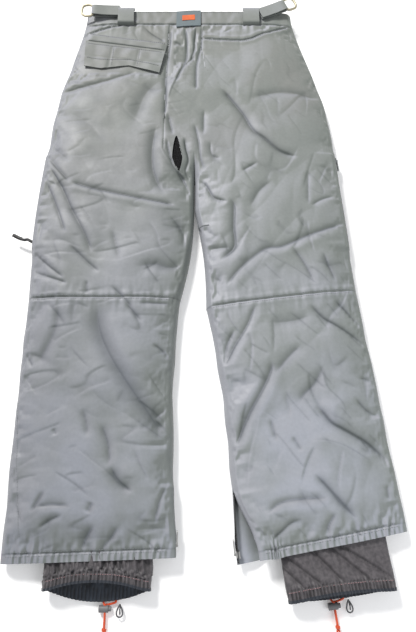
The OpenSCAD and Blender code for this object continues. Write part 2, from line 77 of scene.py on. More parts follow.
# Seams of the back, as in the CAD
LEFT_YOKE_OUT_Y = 275.0
LEFT_YOKE_IN = (-110.0, BAND_Y)
RIGHT_YOKE_SEAM = [(28, 267), (113, 260), (154, 278), (212, BAND_Y)]
GUSSET_LEFT = [(-39, BAND_Y), (-42, 200), (-44, 80), (-44, 0), (-14, -46), (15, -60)]
GUSSET_RIGHT = [(32, BAND_Y), (28, 267), (26, 248), (33, 192), (61, 148), (95, 77), (80, 0), (15, -60)]
VENT_LOW = (-22.0, -20.0)
VENT_GAPE_LOW = -47.0
VENT_GAPE_HIGH = 30.0
POCKET_AT = (-208.0, 258.0)
POCKET_TURN = math.radians(-9.1)
POCKET_W = 164.0

# Heights
CROWN_Z = 36.0          # of the upper layer away from the edges
EDGE_Z = 12.0           # where the two layers meet
ZIP_EDGE_Z = 19.0       # the same where a zip is sewn in
EDGE_ROUND = 13.0       # how far in from an edge the upper layer's steep rise ends
EDGE_SLOPE = 70.0       # how far in its gentle rise ends
UNDER_ROUND = 15.0      # the same for the lower layer
SHEET_T = 1.2           # thickness of the shell fabric

# Grid
COLS = 160
BAND_ROWS = 20
SEAT_ROWS = 200
THIGH_ROWS = 132
SHIN_ROWS = 220
HEM_ROWS = 12
CLOTH_STEP = 4          # the cloth run uses every fourth row and column
UNDER_STEP = 2          # the layer on the floor uses every second


# ---- Small numeric helpers --------------------------------------------------------------

def smooth01(t):
    t = np.clip(t, 0.0, 1.0)
    return t * t * (3.0 - 2.0 * t)


def fade(value, start, end):
    """0 before start, 1 after end; start may be larger than end."""
    return smooth01((value - start) / (end - start))


def quarter_round(distance, radius):
    """Height of a quarter circle, 0 at its foot and 1 at radius."""
    t = np.clip(distance / radius, 0.0, 1.0)
    return np.sqrt(np.maximum(1.0 - (1.0 - t) ** 2, 0.0))


def edge_lift(distance, steep):
    """The upper layer's rise from an edge: steep at first, then gentle; 0 to 1."""
    gentle = np.sin(np.pi / 2 * np.clip(distance / EDGE_SLOPE, 0, 1))
    return 0.68 * quarter_round(distance, steep) + 0.32 * gentle


def gradient_noise(x, y, cell, seed):
    """Perlin noise of the given cell size, about -1 to 1."""
    size = 64
    angles = np.random.default_rng(seed).uniform(0, 2 * np.pi, (size, size))
    gx = np.cos(angles)
    gy = np.sin(angles)
    px = x / cell
    py = y / cell
    x0 = np.floor(px).astype(int)
    y0 = np.floor(py).astype(int)
    fx = px - x0
    fy = py - y0
    sx = fx ** 3 * (fx * (6 * fx - 15) + 10)
    sy = fy ** 3 * (fy * (6 * fy - 15) + 10)

    def corner(dx, dy):
        i = (x0 + dx) % size
        j = (y0 + dy) % size
        return gx[i, j] * (fx - dx) + gy[i, j] * (fy - dy)

    low = corner(0, 0) * (1 - sx) + corner(1, 0) * sx
    high = corner(0, 1) * (1 - sx) + corner(1, 1) * sx
    return (low * (1 - sy) + high * sy) * 1.5


def crumple(x, y, cell, seed, turn=0.0, stretch=1.0):
    """Pillows of about one cell with sharp valleys between them, 0 to 1, stretched along turn."""
    c = math.cos(math.radians(turn))
    s = math.sin(math.radians(turn))
    along = (x * c + y * s) / stretch
    across = -x * s + y * c
    return np.abs(gradient_noise(along, across, cell, seed)) ** 0.85


def smooth_path(points, steps=6):
    """A Catmull-Rom curve through a few points."""
    p = np.array(points, float)
    if len(p) == 2:
        t = np.linspace(0, 1, steps + 1)[:, None]
        return p[0] * (1 - t) + p[1] * t
    p = np.vstack([2 * p[0] - p[1], p, 2 * p[-1] - p[-2]])
    out = []
    for i in range(1, len(p) - 2):
        for k in range(steps):
            t = k / steps
            out.append(0.5 * (2 * p[i] + (p[i + 1] - p[i - 1]) * t
                              + (2 * p[i - 1] - 5 * p[i] + 4 * p[i + 1] - p[i + 2]) * t ** 2
                              + (3 * p[i] - p[i - 1] - 3 * p[i + 1] + p[i + 2]) * t ** 3))
    out.append(p[-2])
    return np.array(out)


def to_path(x, y, path, reach):
    """Index, distance (positive on the left) and distance along of points within reach; the path's length."""
    low = path.min(axis=0) - reach
    high = path.max(axis=0) + reach
    near = np.nonzero((x > low[0]) & (x < high[0]) & (y > low[1]) & (y < high[1]))
    px = x[near]
    py = y[near]
    best = np.full(px.shape, 1e9)
    signed = np.zeros(px.shape)
    along = np.zeros(px.shape)
    done = 0.0
    for a, b in zip(path[:-1], path[1:]):
        d = b - a
        length = math.hypot(d[0], d[1])
        if length < 1e-6:
            continue
        t = np.clip(((px - a[0]) * d[0] + (py - a[1]) * d[1]) / length ** 2, 0, 1)
        dx = px - a[0] - t * d[0]
        dy = py - a[1] - t * d[1]
        dist = np.hypot(dx, dy)
        closer = dist < best
        best = np.where(closer, dist, best)
        signed = np.where(closer, np.where(d[0] * dy - d[1] * dx > 0, dist, -dist), signed)
        along = np.where(closer, done + t * length, along)
        done += length
    return near, signed, along, done


# ---- Plan -------------------------------------------------------------------------------

def leg_point(side, x, y):
    """Row coordinates of a point in a lower leg's own frame: knee seam's middle, +Y up the leg."""
    c = math.cos(SWING[side])
    s = math.sin(SWING[side])
    return KNEE_X[side] + x * c - y * s, KNEE_Y + x * s + y * c


def outseam_x(side, y):
    """The outer edge's distance from the centre line at height y, waist to knee."""
    knee_x, knee_y = leg_point(side, side * KNEE_W / 2, 0.0)
    t = (np.clip(RISE - y, 0, RISE) / RISE) ** 0.8
    hip = WAIST_HALF + (SEAT_HALF[side] - WAIST_HALF) * (1 - np.cos(np.pi * t)) / 2
    bow = 5.0 * np.sin(np.pi * np.clip(y / knee_y, 0, 1)) * (1 if side == LEFT else -0.3)
    leg = SEAT_HALF[side] + (abs(knee_x) - SEAT_HALF[side]) * (y / knee_y) + bow
    return side * np.where(y >= 0, hip, leg)


def edge_wander(y, seed):
    """Slight waviness of a free edge, in mm."""
    return 2.2 * gradient_noise(y, np.full_like(y, 7.0 * seed), 55.0, seed)


def inseam_inset(s):
    """How far the lower leg's inner edge lies inside a straight line; s is 0 at the knee and 1 at the hem."""
    return 9.0 * np.sin(np.pi * np.clip(s / 0.92, 0, 1)) ** 0.7


def plan(side):
    """Plan of one half: x, y, distance to the outer and inner edge, each rows by columns, waist to hem."""
    seat_y = np.concatenate([
        np.linspace(RISE, BAND_Y, BAND_ROWS + 1),
        np.linspace(BAND_Y, TIP_Y, SEAT_ROWS + 1)[1:],
    ])
    centre_x = FORK_X * fade(seat_y, BAND_Y, TIP_Y)
    t = np.linspace(0, 1, THIGH_ROWS + 1)[1:]
    knee_out = leg_point(side, side * KNEE_W / 2, 0.0)
    knee_in = leg_point(side, -side * KNEE_W / 2, 0.0)
    thigh_out_y = TIP_Y + (knee_out[1] - TIP_Y) * t
    thigh_in_y = TIP_Y + (knee_in[1] - TIP_Y) * t
    below_fork = np.clip((thigh_in_y - FORK_Y) / (knee_in[1] - FORK_Y), 0, 1)
    touching = FORK_X + side * 0.4
    thigh_in_x = touching + (knee_in[0] - touching) * below_fork
    thigh_in_x = thigh_in_x + 6.0 * np.sin(np.pi * below_fork)
    outer_x = np.concatenate([outseam_x(side, seat_y), outseam_x(side, thigh_out_y)])
    outer_y = np.concatenate([seat_y, thigh_out_y])
    inner_x = np.concatenate([centre_x, thigh_in_x])
    inner_y = np.concatenate([seat_y, thigh_in_y])

    band_at = 1 - HEM_H / SHIN[side]
    s = np.concatenate([
        np.linspace(0, band_at, SHIN_ROWS + 1)[1:],
        np.linspace(band_at, 1, HEM_ROWS + 1)[1:],
    ])
    slope = math.tan(HEM_SLANT[side])
    inset = inseam_inset(s)
    for_edge = []
    for edge, pull in ((side, 0.0), (-side, 1.0)):
        x = edge * (KNEE_W / 2 - pull * inset)
        y = -s * (SHIN[side] - x * slope)
        for_edge.append(leg_point(side, x, y))
    outer_x = np.concatenate([outer_x, for_edge[0][0]])
    outer_y = np.concatenate([outer_y, for_edge[0][1]])
    inner_x = np.concatenate([inner_x, for_edge[1][0]])
    inner_y = np.concatenate([inner_y, for_edge[1][1]])

    # A little waviness that leaves the waist, the knees, the zips and the hems where they are
    on_hip = fade(outer_y, 250, 190) * fade(outer_y, 0, 20)
    on_shin = fade(outer_y, -330, -380) * fade(outer_y, -700, -660)
    outer_x = outer_x + (on_hip + on_shin) * edge_wander(outer_y, 11 + side)
    free = fade(inner_y, -330, -380) * fade(inner_y, -640, -600)
    inner_x = inner_x + free * edge_wander(inner_y, 21 + side)

    k = np.linspace(0, 1, COLS + 1)
    u = (k - 0.30 * np.sin(2 * np.pi * k) / (2 * np.pi))[None, :]
    x = outer_x[:, None] * (1 - u) + inner_x[:, None] * u
    y = outer_y[:, None] * (1 - u) + inner_y[:, None] * u
    width = np.hypot(inner_x - outer_x, inner_y - outer_y)[:, None]
    return x, y, u * width, (1 - u) * width


WELDED = BAND_ROWS + SEAT_ROWS          # the last row that the two halves share at the centre
KNEE_ROW = WELDED + THIGH_ROWS
HEM_ROW = KNEE_ROW + SHIN_ROWS


def left_yoke_seam():
    x0 = float(outseam_x(LEFT, np.array(LEFT_YOKE_OUT_Y)))
    t = np.linspace(0, 1, 9)
    return np.column_stack([
        x0 + (LEFT_YOKE_IN[0] - x0) * t,
        LEFT_YOKE_OUT_Y + (LEFT_YOKE_IN[1] - LEFT_YOKE_OUT_Y) * np.sin(np.pi / 2 * t),
    ])


def vent_half_width(t):
    """Half width of the gaping vent, from its lower end (t 0) to its upper end (t 1)."""
    return 13.0 * np.clip(1 - t, 0, 1) ** 0.6 * np.clip(t * 2.6, 0, 1) ** 0.9 + 0.01


def vent_middle_x(t):
    return VENT_LOW[0] + 2.0 + 6.0 * (1 - t) ** 2


def vent_edges():
    """Both sides of the vent's opening."""
    t = np.linspace(0.02, 0.98, 24)
    y = VENT_GAPE_LOW + (VENT_GAPE_HIGH - VENT_GAPE_LOW) * t
    return [np.column_stack([vent_middle_x(t) + s * vent_half_width(t), y]) for s in (-1, 1)]


BACK_SEAMS = [
    left_yoke_seam(),
    smooth_path(RIGHT_YOKE_SEAM, 3),
    np.array(GUSSET_LEFT, float),
    np.array(GUSSET_RIGHT, float),
]


def seam_y(path, x):
    """Height of a seam that runs from side to side, at x."""
    order = np.argsort(path[:, 0])
    return np.interp(x, path[order, 0], path[order, 1])


def seam_x(path, y):
    order = np.argsort(path[:, 1])
    return np.interp(y, path[order, 1], path[order, 0])


def snap_to_seams(x, y, rows):
    """Moves grid points near a seam onto it, so that the panels' edges run smoothly."""
    reach = 1.15
    part_x = x[:rows]
    part_y = y[:rows]
    for path in BACK_SEAMS + vent_edges():
        near, signed, along, total = to_path(part_x, part_y, path, reach)
        close = np.abs(signed) < reach
        rows_i = near[0][close]
        cols_i = near[1][close]
        free = (cols_i > 0) & (cols_i < COLS) & (rows_i > BAND_ROWS)
        rows_i = rows_i[free]
        cols_i = cols_i[free]
        at = along[close][free]
        steps = np.concatenate([[0], np.cumsum(np.hypot(*np.diff(path, axis=0).T))])
        part_x[rows_i, cols_i] = np.interp(at, steps, path[:, 0])
        part_y[rows_i, cols_i] = np.interp(at, steps, path[:, 1])


# ---- Folds ------------------------------------------------------------------------------

def fold(points, width, depth, sharp=0.5, ridge=0.0):
    """A valley along a few points, a rise if depth is negative; ridge lifts the cloth on one side."""
    return {"path": smooth_path(points), "width": width, "depth": depth, "sharp": sharp, "ridge": ridge}


SEAT_FOLDS = [
    # Left: beside and under the pocket, and the soft shadow towards the gusset
    fold([(-109, 303), (-93, 297), (-75, 280), (-46, 258)], 4, 4.5, 0.8, -0.5),
    fold([(-250, 133), (-199, 148), (-152, 163), (-101, 184)], 6, 3.5, 0.5, 0.4),
    fold([(-47, 166), (-78, 133), (-93, 95), (-101, 53)], 15, 5.5, 0.1),
    fold([(-235, 90), (-190, 60), (-150, 10)], 12, 2.5, 0.1),
    # Gusset: gathered into upright folds under the waistband, with a bright ridge across
    fold([(-36, 298), (-38, 250), (-43, 205), (-44, 160), (-42, 110), (-46, 70)], 6, 5.5, 0.7),
    fold([(-7, 299), (-3, 252), (-6, 208), (-25, 154)], 5, 5.5, 0.8, 0.4),
    fold([(16, 299), (12, 246), (4, 208)], 4, 4.5, 0.8, -0.4),
    fold([(28, 300), (26, 246), (17, 202), (17, 133)], 4.5, 5.5, 0.8),
    fold([(23, 239), (-11, 190), (-29, 142), (-38, 107)], 8, -4.5, 0.5),
    fold([(-31, 260), (-9, 247)], 4, 3.0, 0.7),
    fold([(-38, 84), (-32, 55), (-25, 29)], 7, 6.0, 0.6),
    # Right: yoke wrinkle and the long diagonal from the gusset to the hip
    fold([(96, 297), (85, 289), (70, 281)], 4, 2.5, 0.7),
    fold([(65, 141), (87, 110), (109, 77), (127, 42), (148, 23), (175, -3), (211, -17)], 8, 7.5, 0.7, 0.5),
    fold([(115, 114), (152, 127), (197, 134), (257, 117)], 11, 3.5, 0.2),
    fold([(33, 93), (32, 29)], 6, 4.5, 0.5),
    fold([(-6, 28), (-2, 2), (3, -22), (-2, -44), (6, -66)], 5, 6.5, 0.9, -0.5),
    fold([(14, 60), (22, 20), (26, -20), (34, -48)], 6, 4.5, 0.6),
    fold([(44, 20), (48, -12), (67, -21)], 7, 4.5, 0.5),
]

LEFT_THIGH_FOLDS = [
    # The wide valley beside the vent, and the crease that runs from it to the fork
    fold([(-58, 60), (-64, 8), (-63, -35), (-52, -71), (-34, -101)], 12, 8.0, 0.4, 0.5),
    fold([(-38, 24), (-34, -5), (-26, -33), (-13, -52), (4, -69)], 4.5, 4.5, 0.9),
    fold([(-17, -44), (-7, -62), (4, -84), (11, -108)], 4.5, 7.0, 1.0, 0.5),
    fold([(-212, -71), (-178, -82), (-132, -94), (-84, -105), (-20, -119)], 5, 6.5, 0.8, -0.6),
    fold([(-267, -9), (-244, -37), (-214, -73)], 5.5, 4.5, 0.7, -0.4),
    fold([(-261, 14), (-216, -29)], 9, 3.0, 0.2),
    fold([(-256, -35), (-228, -82), (-205, -130), (-179, -177), (-164, -215)], 7, 5.0, 0.6, 0.5),
    fold([(-260, -68), (-237, -117), (-213, -177)], 5, 3.5, 0.7),
    fold([(-205, -197), (-182, -220), (-161, -240), (-148, -252)], 5, 4.0, 0.7, 0.5),
    fold([(-273, -207), (-243, -235), (-209, -262)], 4.5, 3.5, 0.7, 0.4),
    fold([(-273, -244), (-236, -259), (-201, -272)], 4.5, 3.5, 0.7),
    fold([(-133, -164), (-122, -202), (-113, -232)], 7, 3.5, 0.4),
    fold([(-90, -242), (-56, -235), (-27, -240), (5, -232)], 11, 5.5, 0.3, -0.6),
    fold([(-31, -138), (-7, -169), (0, -195), (5, -220)], 9, 5.5, 0.5),
    fold([(-170, -264), (-168, -293)], 4, 2.5, 0.6),
    fold([(-129, -274), (-103, -300), (-87, -319)], 5, 3.5, 0.6),
]

RIGHT_THIGH_FOLDS = [
    fold([(79, -103), (88, -121), (87, -165), (87, -203), (60, -231)], 8, 8.5, 0.7, 0.5),
    fold([(6, -52), (35, -73), (51, -100), (79, -112)], 5.5, 5.5, 0.7),
    fold([(30, -203), (58, -203), (83, -201)], 8, 4.0, 0.3),
    fold([(101, -49), (133, -28)], 4, 3.0, 0.7),
    fold([(113, -127), (134, -88), (161, -64)], 9, 4.0, 0.3, 0.4),
    fold([(70, -277), (97, -244), (141, -206), (172, -201), (218, -180), (294, -151)], 7, 6.5, 0.7, -0.6),
    fold([(224, -121), (248, -106), (275, -97)], 5, 3.0, 0.5),
    fold([(227, -43), (223, -97), (223, -121)], 6, 3.0, 0.4),
    fold([(187, -201), (208, -234), (225, -274)], 6, 4.0, 0.6, 0.4),
    fold([(242, -212), (252, -244), (262, -271)], 5, 3.5, 0.6),
    fold([(40, -255), (65, -266)], 9, 4.5, 0.3),
]

LEFT_SHIN_FOLDS = [
    # The wide dark band from the knee to the inseam
    fold([(-150, -304), (-142, -357), (-116, -410), (-77, -466), (-41, -515), (-21, -545)],
         15, 9.5, 0.3, 0.6),
    fold([(-46, -504), (-30, -519), (-14, -537)], 4.5, 4.5, 0.8),
    fold([(-81, -309), (-54, -308), (-21, -308)], 4.5, 4.0, 0.7, -0.5),
    fold([(-214, -307), (-217, -357), (-234, -398), (-249, -420)], 10, 4.5, 0.3),
    fold([(-102, -307), (-70, -343)], 5, 3.5, 0.6),
    fold([(-55, -377), (-33, -394), (-19, -417)], 5.5, 4.5, 0.7, 0.4),
    fold([(-18, -470), (-31, -491), (-48, -504)], 5, 4.5, 0.7),
    fold([(-265, -396), (-249, -420)], 4.5, 3.5, 0.6),
    fold([(-161, -486), (-152, -519), (-153, -537)], 7, 3.5, 0.4),
    fold([(-205, -519), (-200, -530)], 5, 3.0, 0.4),
    fold([(-131, -510), (-117, -545), (-113, -583)], 7, 4.5, 0.5, 0.4),
    fold([(-209, -612), (-223, -636), (-230, -647)], 5.5, 4.0, 0.6),
    fold([(-227, -638), (-199, -634), (-166, -636)], 5.5, 4.0, 0.7, -0.5),
    fold([(-112, -575), (-98, -600), (-74, -615)], 9, 7.0, 0.5, 0.5),
    fold([(-136, -629), (-143, -647)], 6, 4.5, 0.5),
    fold([(-130, -662), (-141, -677), (-151, -702)], 7, 5.5, 0.6, 0.4),
    fold([(-93, -662), (-108, -684), (-124, -702)], 6, 4.5, 0.6),
    fold([(-18, -591), (-33, -629), (-42, -662)], 6, 4.5, 0.6),
    fold([(-218, -669), (-197, -655), (-178, -647)], 5, 3.5, 0.6),
]

RIGHT_SHIN_FOLDS = [
    fold([(122, -310), (107, -348), (82, -389), (68, -420)], 6, 5.5, 0.8, 0.4),
    fold([(85, -355), (71, -382), (65, -420)], 4.5, 3.5, 0.7),
    fold([(142, -406), (144, -425), (127, -462), (103, -505), (82, -553)], 7.5, 8.5, 0.7, 0.5),
    fold([(213, -310), (235, -335), (267, -355), (313, -387)], 6, 5.5, 0.7, 0.4),
    fold([(256, -302), (283, -330), (311, -360)], 4.5, 4.0, 0.7),
    fold([(139, -343), (181, -340), (217, -330)], 11, 3.5, 0.2),
    fold([(199, -380), (173, -404), (148, -434)], 9, 5.0, 0.4),
    fold([(230, -415), (217, -444), (195, -467), (185, -485)], 9, 5.5, 0.4),
    fold([(230, -420), (233, -452), (255, -477), (263, -497)], 8, -4.0, 0.4),
    fold([(214, -480), (235, -509), (256, -522), (292, -542), (313, -559), (326, -578)], 7.5, 8.5, 0.7, 0.5),
    fold([(200, -538), (226, -538), (259, -549), (300, -574)], 8, -4.0, 0.4),
    fold([(276, -469), (297, -491), (327, -503)], 5.5, 4.0, 0.6),
    fold([(286, -439), (302, -439), (325, -453)], 5, 3.5, 0.6),
    fold([(140, -503), (149, -541)], 5, 3.0, 0.5),
    fold([(173, -531), (188, -556)], 5, 2.5, 0.5),
    fold([(203, -586), (224, -609), (247, -635), (267, -656)], 7.5, 6.5, 0.7, 0.5),
    fold([(124, -648), (149, -633), (174, -627), (227, -623)], 7, 4.5, 0.5, -0.5),
    fold([(121, -686), (147, -674), (164, -661), (185, -654)], 6, 4.5, 0.6),
    fold([(234, -644), (222, -665), (221, -678)], 5.5, 4.5, 0.6),
    fold([(256, -667), (275, -680)], 5, 3.5, 0.5),
    fold([(317, -603), (318, -629)], 5.5, 3.5, 0.5),
]

FOLDS = SEAT_FOLDS + LEFT_THIGH_FOLDS + RIGHT_THIGH_FOLDS + LEFT_SHIN_FOLDS + RIGHT_SHIN_FOLDS


CREASE_W = 1.8          # of the sharp line in a fold
CREASE_DEPTH = 1.4
RELIEF = 0.60           # how deep the folds are, as a share of the depths listed


def fold_height(x, y):
    """Sum of the folds' heights at each point, and the painted shade in their creases and valleys."""
    z = np.zeros(x.shape)
    dark = np.zeros(x.shape)
    for f in FOLDS:
        w = f["width"]
        near, signed, along, total = to_path(x, y, f["path"], 4.5 * w)
        ends = min(0.3 * total, 3.0 * w)
        strength = fade(along, 0, ends) * fade(along, total, total - ends)
        power = 2.0 - f["sharp"]
        off = np.abs(signed)
        valley = np.exp(-(off / w) ** power)
        side = 1.0 if f["ridge"] >= 0 else -1.0
        lip = abs(f["ridge"]) * np.exp(-((signed * side - 2.0 * w) / (1.2 * w)) ** 2)
        step = 0.40 * f["sharp"] * side * np.tanh(signed / CREASE_W) * np.exp(-off / (1.4 * w))
        crease = f["sharp"] * np.exp(-off / CREASE_W)
        broad = 0.85 - 0.45 * f["sharp"]
        z[near] += RELIEF * f["depth"] * strength * (0.35 * lip + step - broad * valley)
        z[near] -= CREASE_DEPTH * strength * crease
        # Painted shade: wide, deep folds also darken their valleys
        shade = 0.60 * min(1.0, w / 9.0) * min(1.0, max(0.0, f["depth"]) / 7.0)
        dark[near] += strength * (crease + shade * valley)
    return z, dark


def loose_creases(x, y, cell, seed, turn, stretch, depth):
    """Unplanned thin creases that come and go, running along the direction turn, and the painted shade along
    their lines.
    """
    c = math.cos(math.radians(turn))
    s = math.sin(math.radians(turn))
    n = gradient_noise((x * c + y * s) / stretch, -x * s + y * c, cell, seed)
    shown = fade(gradient_noise(x, y, 1.7 * cell, seed + 50), 0.0, 0.3)
    thin = 1.5 * CREASE_W / cell
    line = np.exp(-np.abs(n) / thin)
    step = np.tanh(n / thin) * np.exp(-np.abs(n) / (5 * thin))
    return depth * shown * (0.6 * step - line), shown * line


def loose_wrinkles(x, y):
    """Unplanned unevenness of the shell, running one way on the left leg and the other way on the right, and
    the painted shade in its loose creases.
    """
    on_right = fade(x, -40, 60)
    z = 2.4 * gradient_noise(x, y, 90, 3)
    calm = 1 - 0.45 * fade(y, -140, 40)
    dark = np.zeros(x.shape)
    for seed, turn, share in ((101, -58, 1 - on_right), (201, 62, on_right)):
        z = z + share * calm * 2.0 * (crumple(x, y, 92, seed + 1, turn, 2.4) - 0.3)
        z = z + share * calm * 0.6 * (crumple(x, y, 38, seed + 2, turn + 40, 2.6) - 0.3)
        for cell, seed_step, lean, depth in ((46, 0, 15, 0.8), (27, 7, 70, 0.5)):
            height, line = loose_creases(x, y, cell, seed + seed_step, turn + lean, 3.6, depth)
            z = z + share * calm * height
            dark = dark + 0.35 * share * calm * line
    return z, dark


def seam_height(x, y, paths, depth, width, puff):
    """A stitched groove with puffed cloth on both sides."""
    z = np.zeros(x.shape)
    for path in paths:
        near, signed, along, total = to_path(x, y, path, 16)
        d = np.abs(signed)
        z[near] += puff * np.exp(-((d - 7.0) / 4.0) ** 2) - depth * np.exp(-(d / width) ** 2)
    return z


def gathers(across, away, pitch, depth, reach, seed):
    """Small puckers at right angles to a seam: across runs along the seam, away is the distance from it."""
    coarse = gradient_noise(across, away * 0.25, pitch, seed)
    fine = gradient_noise(across, away * 0.3, 0.55 * pitch, seed + 1)
    return depth * (coarse + 0.5 * fine) * np.exp(-np.abs(away) / reach)


def leg_local(side, x, y):
    """Inverse of leg_point."""
    c = math.cos(SWING[side])
    s = math.sin(SWING[side])
    dx = x - KNEE_X[side]
    dy = y - KNEE_Y
    return dx * c + dy * s, -dx * s + dy * c


def edge_heights(side, x, y):
    """Height of the outer and inner edge, and half the gap left there for a zip."""
    local_x, local_y = leg_local(side, x, y)
    side_zip = fade(y, -225, -203) * fade(y, 15, -8)
    hem_zip = fade(local_y, -285, -312)
    outer = EDGE_Z + (ZIP_EDGE_Z - EDGE_Z) * side_zip
    inner = EDGE_Z + (ZIP_EDGE_Z - EDGE_Z) * hem_zip
    gap = 5.2
    return outer, inner, gap * fade(y, -206, -199) * fade(y, -4, -11), gap * fade(local_y, -304, -312)


def upper_layer(side, x, y, d_out, d_in):
    """Heights of the back of the pants, and the painted shade in its creases and seams."""
    local_x, local_y = leg_local(side, x, y)
    z_out, z_in, gap_out, gap_in = edge_heights(side, x, y)
    parted = fade(y, -2, TIP_Y)
    round_in = 9.0 + 4.0 * fade(y, FORK_Y, -240)
    lift = edge_lift(d_out, EDGE_ROUND)
    lift_in = 1 - parted * (1 - edge_lift(d_in, round_in))
    z = z_out + gap_out + (CROWN_Z - z_out - gap_out) * lift
    z = z - (CROWN_Z - z_in - gap_in) * (1 - lift_in)

    # How freely the cloth wrinkles: not at the edges, and little on the waistband
    away = fade(d_out, 2, 30) * (1 - parted * (1 - fade(d_in, 2, 26)))
    free = away * fade(y, BAND_Y + 2, BAND_Y - 30)
    band = fade(y, BAND_Y - 2, BAND_Y + 2)
    folds, fold_dark = fold_height(x, y)
    loose, loose_dark = loose_wrinkles(x, y)
    z = z + free * (folds + loose)
    # Painted shade in the creases and valleys of the folds
    dark = free * np.clip(fold_dark + loose_dark, 0, 1)
    z = z + away * band * 0.5 * gradient_noise(x, y * 0.5, 14, 31)

    # Seams
    z = z + away * seam_height(x, y, BACK_SEAMS[:2], 1.8, 1.6, 0.7)
    z = z + away * seam_height(x, y, BACK_SEAMS[2:3], 0.6, 1.4, 0.1)
    below_band = BAND_Y - y
    z = z - away * 1.8 * np.exp(-(below_band / 2.2) ** 2)
    z = z + away * gathers(x, below_band, 13, 1.5, 16, 41) * (below_band > -2)
    knee = local_y
    z = z - away * 1.3 * np.exp(-(knee / 1.6) ** 2) + away * 0.4 * np.exp(-((np.abs(knee) - 7) / 4) ** 2)
    z = z + away * gathers(local_x, knee, 12, 1.6, 15, 43)

    # Hem: stitched groove above the band, puckers on both sides
    above_hem = local_y + SHIN[side] - local_x * math.tan(HEM_SLANT[side])
    over = above_hem - HEM_H
    z = z - 7.0 * fade(above_hem, 70, 0) * lift * lift_in
    z = z - away * 1.4 * np.exp(-(over / 2.0) ** 2)
    z = z + away * gathers(local_x, over, HEM_PITCH, 3.0, 12, 47)
    in_band = fade(above_hem, HEM_H + 1, HEM_H - 2)
    uneven_x = local_x + 3 * gradient_noise(local_x, y * 0, 30, 48)
    z = z + away * in_band * np.sin(2 * np.pi * uneven_x / HEM_PITCH)
    # Painted shade along the grooves of the waistband, knee, hem and back seams
    for line in (below_band, knee, over):
        dark = np.maximum(dark, 0.5 * np.exp(-np.abs(line) / 1.5))
    for path in BACK_SEAMS[:2] + [BACK_SEAMS[2][:2]]:
        near, signed, along, total = to_path(x, y, path, 8)
        dark[near] = np.maximum(dark[near], 0.6 * np.exp(-np.abs(signed) / 1.3))
    return z, dark


def lower_layer(side, x, y, d_out, d_in):
    """Heights of the front of the pants, which lies on the floor, and the painted shade in its loose creases.
    """
    z_out, z_in, gap_out, gap_in = edge_heights(side, x, y)
    local_x, local_y = leg_local(side, x, y)
    parted = fade(y, -2, TIP_Y)
    on_right = fade(x, -40, 60)
    turn = 70.0
    low = 2.0 * crumple(x, y, 75, 15, turn, 2.2) + 0.7 * crumple(x, y, 34, 16, turn - 50, 2.0)
    loose, dark = loose_creases(x, y, 50, 17, turn + 30, 3.2, 0.9)
    low = low - loose * (1 - on_right) + 0.5 * on_right * crumple(x, y, 22, 18, 100, 2.0)
    away = fade(d_out, 8, 40) * (1 - parted * (1 - fade(d_in, 8, 40)))
    low = 0.6 + away * low
    # Painted shade in the loose creases, kept away from the edges
    dark = away * dark
    if side == RIGHT:
        # The opened hem zip bares a strip of this layer, which bulges up
        low = low + 11.0 * fade(local_y, -285, -340) * fade(local_x, -80, -118)
    z = low + (z_out - gap_out - low) * (1 - quarter_round(d_out, UNDER_ROUND))
    z = z + parted * (z_in - gap_in - low) * (1 - quarter_round(d_in, UNDER_ROUND))
    # Room under the waistband for the snap tab
    under_tab = fade(np.abs(x - 4), 40, 30) * fade(y, BAND_Y - 4, BAND_Y)
    # and for the placket under the fly
    under_fly = fade(np.abs(x), 26, 21) * fade(y, 118, 130) * fade(y, BAND_Y + 1, BAND_Y - 2)
    return z + 3.6 * under_tab + 1.6 * under_fly, 0.8 * dark


def open_hem_zip(x, y, z):
    """The right leg's hem zip lies open: the upper layer's inner corner is pulled back and curls up."""
    local_x, local_y = leg_local(RIGHT, x, y)
    down = fade(local_y, -290, -SHIN[RIGHT])
    corner = down * fade(local_x, -55, -125)
    lip = down * fade(local_x, -85, -130)
    return x + 33 * corner, y + 7 * corner ** 2, z + 5 * lip * down


def floor_and_gap(upper, lower):
    """Keeps the lower layer on the floor and the upper one clear of it."""
    lower[..., 2] = np.maximum(lower[..., 2], 0.3)
    upper[..., 2] = np.maximum(upper[..., 2], lower[..., 2])
    inside = np.s_[:, 2:-2]
    upper[inside + (2,)] = np.maximum(upper[inside + (2,)], lower[inside + (2,)] + 2.5)


def shell_layers(side):
    """The upper and lower layer of one half as grids of points, then the painted shade in the creases of
    each.
    """
    x, y, d_out, d_in = plan(side)
    snap_to_seams(x, y, WELDED)
    height, dark = upper_layer(side, x, y, d_out, d_in)
    up = np.stack([x, y, height], axis=-1)
    height, under_dark = lower_layer(side, x, y, d_out, d_in)
    low = np.stack([x, y, height], axis=-1)
    floor_and_gap(up, low)
    if side == RIGHT:
        up[..., 0], up[..., 1], up[..., 2] = open_hem_zip(up[..., 0], up[..., 1], up[..., 2])
    return up, low, dark, under_dark


# ---- Cloth ------------------------------------------------------------------------------

SWELL_CAP = 4.0         # no point of the shell may move further than this


def even_grid_faces(rows, cols, first, flip):
    """Quads of a grid whose vertices are numbered row by row from first."""
    r, c = np.meshgrid(np.arange(rows - 1), np.arange(cols - 1), indexing="ij")
    a = first + r * cols + c
    quads = np.stack([a, a + cols, a + cols + 1, a + 1], axis=-1).reshape(-1, 4)
    return quads[:, ::-1] if flip else quads


def weld(points, quads):
    """Merges points that coincide and drops faces that collapse.

    Gives the kept points' numbers, the faces, and every point's number among the kept ones.
    """
    keys, first, index = np.unique(np.round(points, 3), axis=0, return_index=True, return_inverse=True)
    index = index.reshape(-1)
    faces = []
    for quad in index[quads].tolist():
        corners = [v for i, v in enumerate(quad) if v != quad[i - 1]]
        if len(corners) >= 3 and len(set(corners)) == len(corners):
            faces.append(corners)
    return first, faces, index


